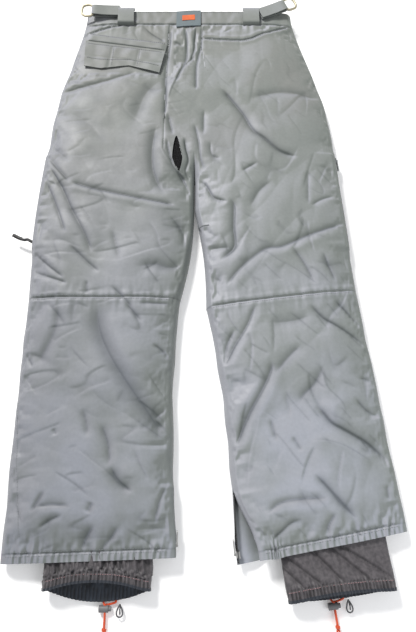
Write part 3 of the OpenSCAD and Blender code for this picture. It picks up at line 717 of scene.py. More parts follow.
def simulate(upper):
    """Lets the padded upper layer swell and wrinkle as cloth. Gives how far each point of each half moves."""
    coarse = [layer[::CLOTH_STEP, ::CLOTH_STEP] for layer in upper.values()]
    rows, cols = coarse[0].shape[:2]
    points = np.concatenate([c.reshape(-1, 3) for c in coarse])
    quads = np.concatenate([
        even_grid_faces(rows, cols, i * rows * cols, side == RIGHT) for i, side in enumerate(upper)
    ])
    kept, faces, index = weld(points, quads)
    welded = points[kept]
    mesh = bpy.data.meshes.new("cloth_run")
    mesh.from_pydata((welded * MM).tolist(), [], faces)
    obj = bpy.data.objects.new("cloth_run", mesh)
    bpy.context.scene.collection.objects.link(obj)

    held = np.zeros((rows, cols))
    held[:BAND_ROWS // CLOTH_STEP + 1, :] = 1
    held[-HEM_ROWS // CLOTH_STEP - 1:, :] = 1
    held[:, :2] = 1
    held[WELDED // CLOTH_STEP:, -2:] = 1
    x, y = points[:, 0], points[:, 1]
    at_pocket = (x > -222) & (x < -28) & (y > 180)
    pinned = obj.vertex_groups.new(name="held")
    for v in set(index[np.nonzero((np.tile(held.reshape(-1), 2) > 0) | at_pocket)[0]].tolist()):
        pinned.add([v], 1.0, "REPLACE")
    cloth = obj.modifiers.new("cloth", "CLOTH").settings
    cloth.quality = 4
    cloth.mass = 0.2
    cloth.tension_stiffness = 12
    cloth.compression_stiffness = 12
    cloth.shear_stiffness = 4
    cloth.bending_stiffness = 0.3
    cloth.vertex_group_mass = "held"
    cloth.shrink_min = -0.035
    cloth.use_pressure = True
    cloth.uniform_pressure_force = 1.2
    cloth.effector_weights.gravity = 0.0
    scene = bpy.context.scene
    for step in range(1, 15):
        scene.frame_set(step)
    deps = bpy.context.evaluated_depsgraph_get()
    after = obj.evaluated_get(deps).to_mesh()
    moved = np.empty(len(welded) * 3)
    after.vertices.foreach_get("co", moved)
    shift = moved.reshape(-1, 3) / MM - welded
    bpy.data.objects.remove(obj)
    scene.frame_set(1)
    length = np.linalg.norm(shift, axis=1, keepdims=True)
    shift = shift * SWELL_CAP / (SWELL_CAP + length)
    shift = shift[index].reshape(2, rows, cols, 3)
    return {side: refine(refine(shift[i])) for i, side in enumerate(upper)}


def refine(coarse):
    """Values between those of a grid, halfway."""
    rows, cols = coarse.shape[:2]
    tall = np.empty((2 * rows - 1, cols, 3))
    tall[::2] = coarse
    tall[1::2] = (coarse[:-1] + coarse[1:]) / 2
    fine = np.empty((2 * rows - 1, 2 * cols - 1, 3))
    fine[:, ::2] = tall
    fine[:, 1::2] = (tall[:, :-1] + tall[:, 1:]) / 2
    return fine


# ---- Materials --------------------------------------------------------------------------

def linear(r, g, b):
    """A colour given as sRGB 0 to 255, as Blender's linear values."""
    out = []
    for v in (r, g, b):
        c = v / 255
        out.append(c / 12.92 if c <= 0.04045 else ((c + 0.055) / 1.055) ** 2.4)
    return (*out, 1.0)


def darker(color, share):
    return (*(share * c for c in color[:3]), 1.0)


class Shader:
    """A Principled material and short ways to add nodes to it. Coordinates are the piece's own, in metres."""

    def __init__(self, name, color, roughness, **inputs):
        self.material = bpy.data.materials.new(name)
        self.material.use_nodes = True
        self.tree = self.material.node_tree
        self.bsdf = self.tree.nodes["Principled BSDF"]
        self.bsdf.inputs["Base Color"].default_value = color
        self.bsdf.inputs["Roughness"].default_value = roughness
        for key, value in inputs.items():
            self.bsdf.inputs[key.replace("_", " ")].default_value = value
        self.place = self.tree.nodes.new("ShaderNodeTexCoord").outputs["Object"]
        self.normal = None

    def add(self, kind, **settings):
        node = self.tree.nodes.new("ShaderNode" + kind)
        for key, value in settings.items():
            setattr(node, key, value)
        return node

    def link(self, source, target):
        self.tree.links.new(source, target)

    def noise(self, scale, detail=2.0, stretch=None):
        node = self.add("TexNoise")
        node.inputs["Scale"].default_value = scale
        node.inputs["Detail"].default_value = detail
        place = self.place
        if stretch:
            mapping = self.add("Mapping")
            mapping.inputs["Scale"].default_value = stretch
            self.link(place, mapping.inputs["Vector"])
            place = mapping.outputs["Vector"]
        self.link(place, node.inputs["Vector"])
        return node.outputs["Fac"]

    def wave(self, scale, axis):
        node = self.add("TexWave", bands_direction=axis)
        node.inputs["Scale"].default_value = scale
        self.link(self.place, node.inputs["Vector"])
        return node.outputs["Fac"]

    def attribute(self, name):
        return self.add("Attribute", attribute_name=name).outputs["Fac"]

    def lean(self, direction):
        """How far the surface leans towards a direction, -1 to 1."""
        geometry = self.add("NewGeometry")
        dot = self.add("VectorMath", operation="DOT_PRODUCT")
        self.link(geometry.outputs["Normal"], dot.inputs[0])
        dot.inputs[1].default_value = direction
        return dot.outputs["Value"]

    def ramp(self, value, stops):
        """stops: (position, colour) pairs."""
        node = self.add("ValToRGB")
        while len(node.color_ramp.elements) < len(stops):
            node.color_ramp.elements.new(0.5)
        for element, (at, color) in zip(node.color_ramp.elements, stops):
            element.position = at
            element.color = color
        self.link(value, node.inputs["Fac"])
        return node.outputs["Color"]

    def mix(self, factor, a, b, blend="MIX"):
        node = self.add("Mix", data_type="RGBA", blend_type=blend)
        for value, socket in ((factor, node.inputs[0]), (a, node.inputs[6]), (b, node.inputs[7])):
            if isinstance(value, (float, int)):
                socket.default_value = float(value)
            elif isinstance(value, tuple):
                socket.default_value = value
            else:
                self.link(value, socket)
        return node.outputs[2]

    def range(self, value, low, high, to_low, to_high):
        node = self.add("MapRange")
        for key, number in (("From Min", low), ("From Max", high), ("To Min", to_low), ("To Max", to_high)):
            node.inputs[key].default_value = number
        self.link(value, node.inputs["Value"])
        return node.outputs["Result"]

    def along(self, axis):
        node = self.add("SeparateXYZ")
        self.link(self.place, node.inputs["Vector"])
        return node.outputs[axis]

    def bump(self, height, strength, distance):
        node = self.add("Bump")
        node.inputs["Strength"].default_value = strength
        node.inputs["Distance"].default_value = distance
        self.link(height, node.inputs["Height"])
        if self.normal is not None:
            self.link(self.normal, node.inputs["Normal"])
        self.normal = node.outputs["Normal"]
        self.link(self.normal, self.bsdf.inputs["Normal"])

    def set(self, name, source):
        self.link(source, self.bsdf.inputs[name])


def shell_nylon():
    """Light grey nylon with painted light and shade: lighter and lilac where it faces the key light, greenish
    and darker where it turns away, darker towards the waist and on the left leg, and darker in its creases.
    """
    m = Shader("shell_nylon", linear(136, 140, 140), 0.5, Specular_IOR_Level=0.35)
    # Painted shade: the colour darkens from the legs up towards the waist
    height = m.range(m.along("Y"), -0.6, 0.15, 0.0, 1.0)
    body = m.mix(height, linear(150, 154, 163), linear(121, 123, 120))
    patches = m.noise(7.0, 3.0)
    tinted = m.mix(m.range(patches, 0.40, 0.60, 0.0, 0.7), body, linear(122, 127, 124))
    # Painted shade in the creases, read from the crease attribute
    painted_crease_shade = m.ramp(m.attribute("crease"), [(0.05, (1, 1, 1, 1)), (0.9, (0.44, 0.46, 0.47, 1))])
    # Painted highlight, lilac, where the cloth faces the key light; painted shade, greenish, where it turns
    # away from it
    lit = m.mix(m.range(m.lean((-0.75, 0.65, 0.0)), -0.02, 0.22, 0.0, 0.9), tinted, linear(151, 153, 160))
    painted_light_tone = m.mix(m.range(m.lean((0.75, -0.65, 0.0)), 0.0, 0.30, 0.0, 0.75), lit, linear(112, 118, 113))
    # Painted shade: the left leg is darker than the right
    from_left = m.range(m.along("X"), -0.3, 0.3, 0.0, 1.0)
    wear_and_painted_shade = m.ramp(from_left, [(0.1, (0.76, 0.76, 0.76, 1)), (0.7, (1.03, 1.03, 1.03, 1))])
    painted_light_tone = m.mix(1.0, painted_light_tone, wear_and_painted_shade, "MULTIPLY")
    flecks = m.ramp(m.noise(180.0, 4.0), [(0.3, (0.95, 0.95, 0.95, 1)), (0.7, (1.02, 1.02, 1.02, 1))])
    m.set("Base Color", m.mix(1.0, m.mix(1.0, painted_light_tone, flecks, "MULTIPLY"), painted_crease_shade, "MULTIPLY"))
    m.set("Roughness", m.range(m.noise(30.0, 3.0), 0.3, 0.7, 0.46, 0.60))
    m.bump(m.noise(22.0, 2.0, stretch=(1.0, 0.6, 1.0)), 0.30, 0.0030)
    m.bump(m.noise(75.0, 3.0), 0.20, 0.0008)
    m.bump(m.wave(420.0, "X"), 0.15, 0.0001)
    m.bump(m.wave(420.0, "Y"), 0.15, 0.0001)
    return m.material


def webbing(name, color, rib_axis="Y"):
    """Woven tape with fine ribs."""
    m = Shader(name, color, 0.62, Sheen_Weight=0.2)
    shade = m.ramp(m.wave(160.0, rib_axis), [(0.0, (0.80, 0.80, 0.80, 1)), (1.0, (1.08, 1.08, 1.08, 1))])
    patches = m.mix(m.range(m.noise(25.0), 0.3, 0.7, 0.0, 0.5), color, darker(color, 0.8))
    m.set("Base Color", m.mix(1.0, patches, shade, "MULTIPLY"))
    m.bump(m.wave(160.0, rib_axis), 0.6, 0.0005)
    m.bump(m.noise(400.0, 2.0), 0.3, 0.0002)
    return m.material


def soft_cloth(name, dark, light, roughness=0.7, scale=60.0):
    """Plain woven cloth, mottled between two colours, with painted shade in its creases."""
    m = Shader(name, light, roughness, Sheen_Weight=0.2)
    mottled = m.mix(m.range(m.noise(scale, 3.0), 0.35, 0.65, 0.0, 1.0), dark, light)
    # Painted shade in the creases, read from the crease attribute
    painted_crease_shade = m.ramp(m.attribute("crease"), [(0.0, (1, 1, 1, 1)), (1.0, (0.30, 0.30, 0.31, 1))])
    m.set("Base Color", m.mix(1.0, mottled, painted_crease_shade, "MULTIPLY"))
    m.bump(m.noise(scale * 3.0, 3.0), 0.4, 0.0006)
    m.bump(m.wave(500.0, "X"), 0.2, 0.0001)
    return m.material


def braid(name, color):
    m = Shader(name, color, 0.6, Sheen_Weight=0.3)
    ribs = m.wave(320.0, "DIAGONAL")
    m.set("Base Color", m.mix(ribs, darker(color, 0.6), color))
    m.bump(ribs, 0.6, 0.0004)
    return m.material


def net(name):
    """Black mesh with small holes that show as paler dots."""
    m = Shader(name, linear(16, 16, 17), 0.9, Specular_IOR_Level=0.2)
    cells = m.add("TexVoronoi")
    cells.inputs["Scale"].default_value = 520.0
    m.link(m.place, cells.inputs["Vector"])
    from_hole = cells.outputs["Distance"]
    m.set("Base Color", m.ramp(from_hole, [(0.25, linear(34, 34, 37)), (0.45, linear(10, 10, 11))]))
    m.bump(from_hole, 0.5, 0.0004)
    return m.material


def metal(name, color, roughness):
    m = Shader(name, color, roughness, Metallic=1.0)
    wear_and_painted_shade = m.range(m.noise(220.0, 4.0), 0.3, 0.7, roughness * 0.8, min(1.0, roughness * 1.35))
    m.set("Roughness", wear_and_painted_shade)
    m.bump(m.noise(600.0, 2.0), 0.15, 0.0001)
    return m.material


def plastic(name, color, roughness):
    m = Shader(name, color, roughness)
    m.set("Roughness", m.range(m.noise(120.0, 3.0), 0.3, 0.7, roughness * 0.85, roughness * 1.2))
    m.bump(m.noise(500.0, 2.0), 0.1, 0.0001)
    return m.material


SHELL = shell_nylon()
BAND = webbing("band_webbing", linear(132, 135, 137))
LINING = soft_cloth("navy_lining", linear(28, 34, 42), linear(44, 52, 63))
GAITER = soft_cloth("gaiter_cloth", linear(62, 59, 62), linear(84, 80, 83), 0.55, 180.0)
GAITER_TAPE = webbing("gaiter_tape", linear(38, 44, 54), "X")
PATCH = webbing("patch_webbing", linear(92, 105, 110), "X")
MARK = soft_cloth("orange_mark", linear(190, 82, 24), linear(214, 100, 36))
MESH = net("vent_mesh")
CORD = braid("orange_cord", linear(226, 78, 22))
BLACK_CORD = braid("black_cord", linear(30, 30, 32))
ZIP_TAPE = webbing("zip_tape", linear(52, 53, 55), "X")
ZIP_METAL = metal("zip_metal", linear(190, 190, 188), 0.32)
RING = metal("ring_wire", linear(178, 172, 152), 0.55)
PULLER = plastic("black_puller", linear(20, 20, 22), 0.55)
COATED = plastic("coated_slider", linear(122, 125, 126), 0.45)
TOGGLE = plastic("grey_toggle", linear(108, 108, 110), 0.5)
HOOK = metal("hook_wire", linear(112, 112, 114), 0.5)
THREAD = soft_cloth("thread", linear(112, 116, 118), linear(132, 136, 138), 0.7, 200.0)
PINK_THREAD = soft_cloth("pink_thread", linear(150, 116, 120), linear(170, 132, 136), 0.7, 200.0)


# ---- Mesh pieces ------------------------------------------------------------------------

def keep_borders_crisp(mesh):
    """Marks open borders as sharp, so that the thickness added later doesn't bend the shading there."""
    work = bmesh.new()
    work.from_mesh(mesh)
    for edge in work.edges:
        if edge.is_boundary:
            edge.smooth = False
    work.to_mesh(mesh)
    work.free()


def new_piece(name, points, faces, material):
    """A smooth mesh from points in millimetres."""
    mesh = bpy.data.meshes.new(name)
    mesh.from_pydata((np.asarray(points, float) * MM).tolist(), [], faces)
    mesh.validate()
    mesh.shade_smooth()
    keep_borders_crisp(mesh)
    mesh.materials.append(material)
    obj = bpy.data.objects.new(name, mesh)
    bpy.context.scene.collection.objects.link(obj)
    return obj


def thicken(obj, thickness):
    solid = obj.modifiers.new("thickness", "SOLIDIFY")
    solid.thickness = thickness * MM
    solid.offset = -1.0
    return obj


def sheet(name, parts, material, thickness=SHEET_T):
    """One piece of cloth from parts of grids: (grid of points, which cells, whether to turn the faces over).

    A fourth member of a part, if there is one, is the painted shade in the creases at the grid's points.
    """
    points = []
    quads = []
    dark = []
    first = 0
    for grid, cells, flip, *shade in parts:
        rows, cols = grid.shape[:2]
        all_quads = even_grid_faces(rows, cols, first, flip)
        quads.append(all_quads[cells.reshape(-1)])
        points.append(grid.reshape(-1, 3))
        dark.append(shade[0].reshape(-1) if shade else np.zeros(rows * cols))
        first += rows * cols
    points = np.concatenate(points)
    kept, faces, index = weld(points, np.concatenate(quads))
    used = sorted({v for f in faces for v in f})
    number = {v: i for i, v in enumerate(used)}
    obj = new_piece(name, points[kept][used], [[number[v] for v in f] for f in faces], material)
    # The crease attribute carries the painted shade, which the materials multiply into the colour
    creases = obj.data.attributes.new("crease", "FLOAT", "POINT")
    creases.data.foreach_set("value", np.concatenate(dark)[kept][used])
    return thicken(obj, thickness)


def tube(name, path, radius, material, sides=10, closed=False, flat=1.0):
    """A round or oval rod along a path; flat squeezes it in z."""
    p = np.asarray(path, float)
    count = len(p)
    ahead = np.roll(p, -1, axis=0) - np.roll(p, 1, axis=0)
    if not closed:
        ahead[0] = p[1] - p[0]
        ahead[-1] = p[-1] - p[-2]
    ahead /= np.linalg.norm(ahead, axis=1, keepdims=True)
    up = np.array([0.0, 0.0, 1.0])
    points = []
    side = np.cross(ahead[0], up)
    if np.linalg.norm(side) < 0.2:
        side = np.array([1.0, 0.0, 0.0])
    for i in range(count):
        side = side - ahead[i] * np.dot(side, ahead[i])
        side /= np.linalg.norm(side)
        over = np.cross(side, ahead[i])
        for k in range(sides):
            a = 2 * math.pi * k / sides
            points.append(p[i] + radius * (math.cos(a) * side + flat * math.sin(a) * over))
    faces = []
    for i in range(count if closed else count - 1):
        j = (i + 1) % count
        for k in range(sides):
            n = (k + 1) % sides
            faces.append([i * sides + k, i * sides + n, j * sides + n, j * sides + k])
    if not closed:
        faces.append(list(range(sides))[::-1])
        faces.append([(count - 1) * sides + k for k in range(sides)])
    return new_piece(name, points, faces, material)


def join(name, pieces):
    """One piece from several."""
    with bpy.context.temp_override(active_object=pieces[0], selected_editable_objects=pieces,
                                   selected_objects=pieces, object=pieces[0]):
        bpy.ops.object.join()
    pieces[0].name = name
    pieces[0].data.name = name
    return pieces[0]


def settle(obj):
    """Applies the modifiers that a piece has so far."""
    deps = bpy.context.evaluated_depsgraph_get()
    made = bpy.data.meshes.new_from_object(obj.evaluated_get(deps))
    obj.modifiers.clear()
    obj.data = made
    return obj


def dress(obj, body, slot, *replaced):
    """Puts a finished piece on its body, in place of the CAD nodes it stands for; slot is not used."""
    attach(obj, body)
    if replaced:
        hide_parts(*replaced)


def cell_middle(grid):
    return (grid[:-1, :-1] + grid[1:, :-1] + grid[:-1, 1:] + grid[1:, 1:]) / 4


def in_vent(x, y):
    t = (y - VENT_GAPE_LOW) / (VENT_GAPE_HIGH - VENT_GAPE_LOW)
    return (t > 0) & (t < 1) & (np.abs(x - vent_middle_x(t)) < vent_half_width(t))


def upper_cells(side, grid):
    """Which cells of the upper layer belong to which panel."""
    rows, cols = grid.shape[0] - 1, grid.shape[1] - 1
    row = np.arange(rows)[:, None] + np.zeros((1, cols), int)
    middle = cell_middle(grid)
    x = middle[..., 0]
    y = middle[..., 1]
    band = row < BAND_ROWS
    lower = (row >= KNEE_ROW) & (row < HEM_ROW)
    seat = ~band & (row < KNEE_ROW)
    gusset = seat & (row < WELDED) & (x > seam_x(BACK_SEAMS[2], y)) & (x < seam_x(BACK_SEAMS[3], y))
    yoke_seam = BACK_SEAMS[0] if side == LEFT else BACK_SEAMS[1]
    yoke = seat & ~gusset & (row < WELDED) & (y > seam_y(yoke_seam, x))
    return {
        "band": band, "gusset": gusset & ~in_vent(x, y), "yoke": yoke, "panel": seat & ~gusset & ~yoke,
        "lower": lower, "hem": row >= HEM_ROW,
    }


def lower_cells(grid):
    rows, cols = grid.shape[0] - 1, grid.shape[1] - 1
    row = (np.arange(rows)[:, None] + np.zeros((1, cols), int)) * UNDER_STEP
    return {
        "band": row < BAND_ROWS, "panel": (row >= BAND_ROWS) & (row < KNEE_ROW),
        "lower": (row >= KNEE_ROW) & (row < HEM_ROW), "hem": row >= HEM_ROW,
    }


def knee_blend(obj):
    """Bakes a lower-leg piece's placement into its mesh; the piece is not bent at the knee."""
    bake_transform(obj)


# ---- The shell --------------------------------------------------------------------------

# DARK and UNDER_DARK hold the painted crease shade of the upper and lower layers
UP, LOW, DARK, UNDER_DARK = {}, {}, {}, {}
for side in (LEFT, RIGHT):
    UP[side], LOW[side], DARK[side], UNDER_DARK[side] = shell_layers(side)
shift = simulate(UP)
for side in (LEFT, RIGHT):
    UP[side] = UP[side] + shift[side]
    floor_and_gap(UP[side], LOW[side])

BACK = {side: upper_cells(side, UP[side]) for side in (LEFT, RIGHT)}
UNDER = {side: LOW[side][::UNDER_STEP, ::UNDER_STEP] for side in (LEFT, RIGHT)}
FRONT = {side: lower_cells(UNDER[side]) for side in (LEFT, RIGHT)}


def back_part(side, key):
    return UP[side], BACK[side][key], side == RIGHT, DARK[side]


def front_part(side, key):
    return UNDER[side], FRONT[side][key], side == LEFT, UNDER_DARK[side][::UNDER_STEP, ::UNDER_STEP]


def shell_piece(name, parts, body, blend_side=None):
    obj = sheet(name, parts, SHELL)
    if blend_side is None:
        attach(obj, body)
    else:
        knee_blend(obj)
    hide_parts(name.replace("_cloth", ""))
    return obj


def make_shell():
    for side in (LEFT, RIGHT):
        name = SIDE_NAME[side]
        shell_piece(f"back_{name}_panel_cloth", [back_part(side, "panel")], "seat")
        shell_piece(f"back_{name}_yoke_cloth", [back_part(side, "yoke")], "seat")
        shell_piece(f"front_{name}_panel_cloth", [front_part(side, "panel")], "seat")
        shell_piece(f"{name}_lower_back_panel_cloth", [back_part(side, "lower")], None, blend_side=side)
        shell_piece(f"{name}_lower_front_panel_cloth", [front_part(side, "lower")], None, blend_side=side)
        hem = [back_part(side, "hem"), front_part(side, "hem")]
        shell_piece(f"{name}_hem_band_cloth", hem, f"{name}_shin")
    shell_piece("seat_gusset_cloth", [back_part(LEFT, "gusset"), back_part(RIGHT, "gusset")], "seat")
    for layer, part in (("back", back_part), ("front", front_part)):
        band = [part(LEFT, "band"), part(RIGHT, "band")]
        shell_piece(f"{layer}_waistband_cloth", band, "seat")


make_shell()


def surface_tree():
    """Looks straight down on the upper layer."""
    points = np.concatenate([UP[LEFT].reshape(-1, 3), UP[RIGHT].reshape(-1, 3)])
    rows, cols = UP[LEFT].shape[:2]
    quads = np.concatenate([
        even_grid_faces(rows, cols, 0, False), even_grid_faces(rows, cols, rows * cols, True)
    ])
    return BVHTree.FromPolygons(points.tolist(), quads.tolist())


TREE = surface_tree()


def surface_z(x, y):
    hit = TREE.ray_cast(Vector((float(x), float(y), 200.0)), Vector((0, 0, -1)))
    return hit[0].z if hit[0] is not None else CROWN_Z


def drape(points, lift):
    """Points laid on the upper layer, lift above it."""
    return np.array([(x, y, surface_z(x, y) + lift) for x, y in points])


# ---- Linings ----------------------------------------------------------------------------

LINING_STEP = 5
LINING_SHARE = 0.3      # how far into the garment the lining lies, as a share of the gap between the layers


def lining_grids(side):
    """Upper and lower lining on a coarser grid."""
    up = UP[side][::LINING_STEP, ::LINING_STEP]
    low = LOW[side][::LINING_STEP, ::LINING_STEP]
    return up + (low - up) * LINING_SHARE, low + (up - low) * LINING_SHARE


def make_linings():
    body_parts = []
    for side in (LEFT, RIGHT):
        up, low = lining_grids(side)
        rows, cols = up.shape[0] - 1, up.shape[1] - 1
        row, col = np.meshgrid(np.arange(rows), np.arange(cols), indexing="ij")
        split = WELDED // LINING_STEP - 6
        knee = KNEE_ROW // LINING_STEP
        clear = (col >= 3) & ((row < split) | (col < cols - 3))
        body = clear & (row > BAND_ROWS // LINING_STEP) & (row < knee - 2)
        body_parts += [(up, body, side == RIGHT), (low, body, side == LEFT)]
        in_leg = (row > knee + 2) & (row < knee + 34)
        leg = in_leg & (col >= 3) & (col < cols - 3)
        for edge in (3, cols - 3):
            middle = (up[:, edge, 2] + low[:, edge, 2]) / 2
            up[:, edge, 2] = middle
            low[:, edge] = up[:, edge]
        tube_parts = [(up, leg, side == RIGHT), (low, leg, side == LEFT)]
        name = SIDE_NAME[side] + "_leg_lining"
        obj = sheet(name + "_cloth", tube_parts, LINING, 0.6)
        knee_blend(obj)
        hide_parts(name)
    obj = sheet("body_lining_cloth", body_parts, LINING, 0.6)
    dress(obj, "seat", "lining", "body_lining")


# ---- Flat fittings ----------------------------------------------------------------------

def patch_grid(corner_at, across, down):
    """Points of a small cloth: corner_at(u, v) gives x, y, z for u and v from 0 to 1."""
    u, v = np.meshgrid(np.linspace(0, 1, across + 1), np.linspace(0, 1, down + 1))
    return np.array([[corner_at(a, b) for a, b in zip(ru, rv)] for ru, rv in zip(u, v)])


def small_cloth(name, point_at, across, down, material, thickness, body, slot, *replaced):
    """A sheet given by a function; v runs down the picture and u to the right."""
    grid = patch_grid(point_at, across, down)
    cells = np.ones((down, across), bool)
    dress(sheet(name, [(grid, cells, False)], material, thickness), body, slot, *replaced)


def pocket_point(x, y):
    c = math.cos(POCKET_TURN)
    s = math.sin(POCKET_TURN)
    return POCKET_AT[0] + x * c - y * s, POCKET_AT[1] + x * s + y * c


def noise_at(x, y, cell, seed):
    return float(gradient_noise(np.array([x]), np.array([y]), cell, seed)[0])


FLAP_LOW_EDGE = [(10, -62), (45, -63), (98, -47), (162, -55)]
FLAP_SEAMS = (58, 112)


def flap_point(u, v):
    low_x = FLAP_LOW_EDGE[0][0] + (FLAP_LOW_EDGE[-1][0] - FLAP_LOW_EDGE[0][0]) * u
    low_y = float(np.interp(low_x, [p[0] for p in FLAP_LOW_EDGE], [p[1] for p in FLAP_LOW_EDGE]))
    local_x = POCKET_W * u * (1 - v) + low_x * v
    local_y = low_y * v - 0.3
    x, y = pocket_point(local_x, local_y)
    z = 39.6 + 0.9 * math.sin(math.pi * v) + 0.8 * noise_at(x, y, 22, 61)
    for seam in FLAP_SEAMS:
        z -= 0.9 * math.exp(-((local_x - seam) / 2.2) ** 2)
    band = local_y + 38 - 6 * u
    z -= 0.9 * math.exp(-(band / 2.0) ** 2)
    z -= 0.8 * math.exp(-((local_y + 4) / 1.8) ** 2)
    return x, y, max(z, 39.3)


def welt_point(u, v):
    local_x = POCKET_W * u
    local_y = 20.0 * (1 - v) + 0.6
    x, y = pocket_point(local_x, local_y)
    edge = min(v, 1 - v, 3 * u, 3 * (1 - u))
    z = 37.2 + 2.2 * min(1.0, edge * 6) + 0.5 * noise_at(x, y, 18, 62)
    return x, y, z


def bag_point(u, v):
    x, y = pocket_point(4 + (POCKET_W - 8) * u, -2 - 128 * v)
    return x, y, surface_z(x, y) - 3.5


def patch_point(u, v):
    """The webbing patch sits a little askew and its ends fray."""
    x = -25 + 50 * u + 0.5 * noise_at(0, 60 * v, 5, 63) * (abs(u - 0.5) > 0.45)
    y = BAND_Y - 8 + 40 * (1 - v) + 3.5 * (u - 0.5)
    z = 39.4 + 0.9 * math.sin(math.pi * u) + 0.3 * noise_at(x, y, 9, 64)
    return x, y, z


def mark_point(u, v):
    """A plain bar across the patch."""
    x = -13 + 26 * u
    y = BAND_Y + 13 + 13 * (0.5 - v) + 3.5 * (x / 50)
    return x, y, 40.4 + 0.7 * math.sin(math.pi * (x + 25) / 50)


def tab_point(u, v):
    return -20 + 50 * u, BAND_Y + 32 - 30 * v, 2.9 + 0.15 * noise_at(50 * u, 30 * v, 9, 65)


def placket_point(u, v):
    y = BAND_Y - 170 * v
    narrow = float(fade(np.array(y), 134, 156))
    return -20 * narrow + 40 * narrow * u, y, 1.5


def shield_point(u, v):
    return -25 + 50 * u, BAND_Y - 1 - 152 * v, 15.4


def vent_point(u, v):
    x = VENT_LOW[0] - 13 + 30 * u
    y = VENT_GAPE_HIGH + 8 - (VENT_GAPE_HIGH - VENT_GAPE_LOW + 16) * v
    return x, y, surface_z(x, y) - 3.0


def make_flat_fittings():
    small_cloth("pocket_flap_cloth", flap_point, 56, 24, SHELL, 1.4, "pocket_flap", "shell", "pocket_flap")
    small_cloth("pocket_welt_cloth", welt_point, 56, 10, SHELL, 1.2, "seat", "shell", "pocket_welt")
    small_cloth("pocket_bag_cloth", bag_point, 20, 16, LINING, 0.8, "seat", "lining", "pocket_bag")
    small_cloth("locker_patch_cloth", patch_point, 30, 20, PATCH, 1.6, "seat", "patch", "locker_patch")
    small_cloth("locker_patch_mark", mark_point, 20, 6, MARK, 0.5, "seat", "patch")
    small_cloth("waist_tab_cloth", tab_point, 20, 12, BAND, 1.6, "waist_tab", "band", "waist_tab")
    small_cloth("fly_placket_cloth", placket_point, 12, 40, SHELL, 1.1, "seat", "shell", "fly_placket")
    small_cloth("fly_shield_cloth", shield_point, 8, 20, LINING, 1.0, "seat", "lining", "fly_shield")
    small_cloth("inner_vent_mesh_cloth", vent_point, 10, 30, MESH, 0.5, "seat", "mesh", "inner_vent_mesh")


# ---- Ribbons, straps, rings -------------------------------------------------------------

def ribbon(name, path, across, widths, material, thickness):
    """A strip of cloth along a path; across is its width's direction and widths one number per point."""
    p = np.asarray(path, float)
    w = np.asarray(widths, float)[:, None, None]
    t = np.linspace(-0.5, 0.5, 9)[None, :, None]
    grid = p[:, None, :] + w * t * np.asarray(across, float)[None, None, :]
    return sheet(name, [(grid, np.ones((len(p) - 1, 8), bool), False)], material, thickness)


def smooth_path3(points, steps=5):
    """A smooth curve through points in space."""
    p = np.array(points, float)
    flat = smooth_path(p[:, :2], steps)
    heights = smooth_path(np.column_stack([p[:, 2], np.zeros(len(p))]), steps)[:, 0]
    return np.column_stack([flat, heights])


def make_keepers():
    made = []
    for x in (-129, 129):
        path = smooth_path3([
            (x, 302.0, 34.5), (x, 302.5, 40.5), (x, 306.0, 43.2), (x, 321.0, 44.0),
            (x, 335.0, 43.4), (x, 340.5, 41.0), (x, 341.5, 34.0),
        ])
        sway = 0.5 * np.sin(np.linspace(0, 9, len(path)))
        made.append(ribbon("keeper", path, (1, 0, 0), 33 + sway, SHELL, 1.5))
    obj = join("keeper_loops_cloth", [settle(o) for o in made])
    dress(obj, "seat", "band", "keeper_loops")


STRAPS = {LEFT: ((-147.0, 334.0), math.pi), RIGHT: ((152.0, 328.0), math.radians(22))}
STRAP_L = 50.0
FOLD_Z = 42.1
RING_W = 24.0
RING_L = 29.0
RING_R = 2.5


def make_strap(side):
    """Webbing folded round the ring's bar and stitched down, with the ring in the fold."""
    root, turn = STRAPS[side]
    along = np.array([math.cos(turn), math.sin(turn), 0.0])
    across = np.array([-math.sin(turn), math.cos(turn), 0.0])

    def place(x, z):
        return np.array([root[0], root[1], 0.0]) + along * x + np.array([0, 0, z])

    loop_r = 2.9
    loop = [
        place(STRAP_L + loop_r * math.sin(a), FOLD_Z - loop_r * math.cos(a)) for a in np.linspace(0, np.pi, 9)
    ]
    path = [place(-5, 39.4), place(15, 39.8), place(30, 39.8), place(44, 39.4)] + loop
    path += [place(42, 44.4), place(30, 43.0), place(12, 42.2), place(-4, 42.0)]
    lengths = np.linspace(0, 1, len(path))
    widths = 25 - 6 * np.exp(-((lengths - 0.5) / 0.22) ** 2)
    name = SIDE_NAME[side]
    strap = ribbon(f"{name}_adjuster_cloth", path, across, widths, SHELL, 1.5)
    dress(strap, f"{name}_adjuster", "band", f"{name}_adjuster_strap")

    middle = place(STRAP_L + RING_W / 2, FOLD_Z)
    path = []
    for a in np.linspace(0, 2 * np.pi, 56, endpoint=False):
        c = math.cos(a)
        s = math.sin(a)
        x = math.copysign(abs(c) ** 0.72, c) * RING_W / 2
        y = math.copysign(abs(s) ** 0.72, s) * RING_L / 2
        path.append(middle + along * x + across * y)
    ring = tube(f"{name}_waist_ring_wire", path, RING_R, RING, sides=14, closed=True)
    dress(ring, f"{name}_ring", "ring", f"{name}_waist_ring")


# ---- Zips -------------------------------------------------------------------------------

TAPE_W = 5.2            # half the width of the zip that shows at the garment's edge
TOOTH_PITCH = 2.6


def boxes(name, blocks, frame_at, material):
    """Small boxes (low corner, high corner) in a zip's frame."""
    points = []
    faces = []
    for low, high in blocks:
        first = len(points)
        for z in (low[2], high[2]):
            for x, y in ((low[0], low[1]), (high[0], low[1]), (high[0], high[1]), (low[0], high[1])):
                points.append(frame_at(x, y, z))
        for quad in ((3, 2, 1, 0), (4, 5, 6, 7), (0, 1, 5, 4), (1, 2, 6, 5), (2, 3, 7, 6), (3, 0, 4, 7)):
            faces.append([first + q for q in quad])
    obj = new_piece(name, points, faces, material)
    obj.data.shade_flat()
    return obj


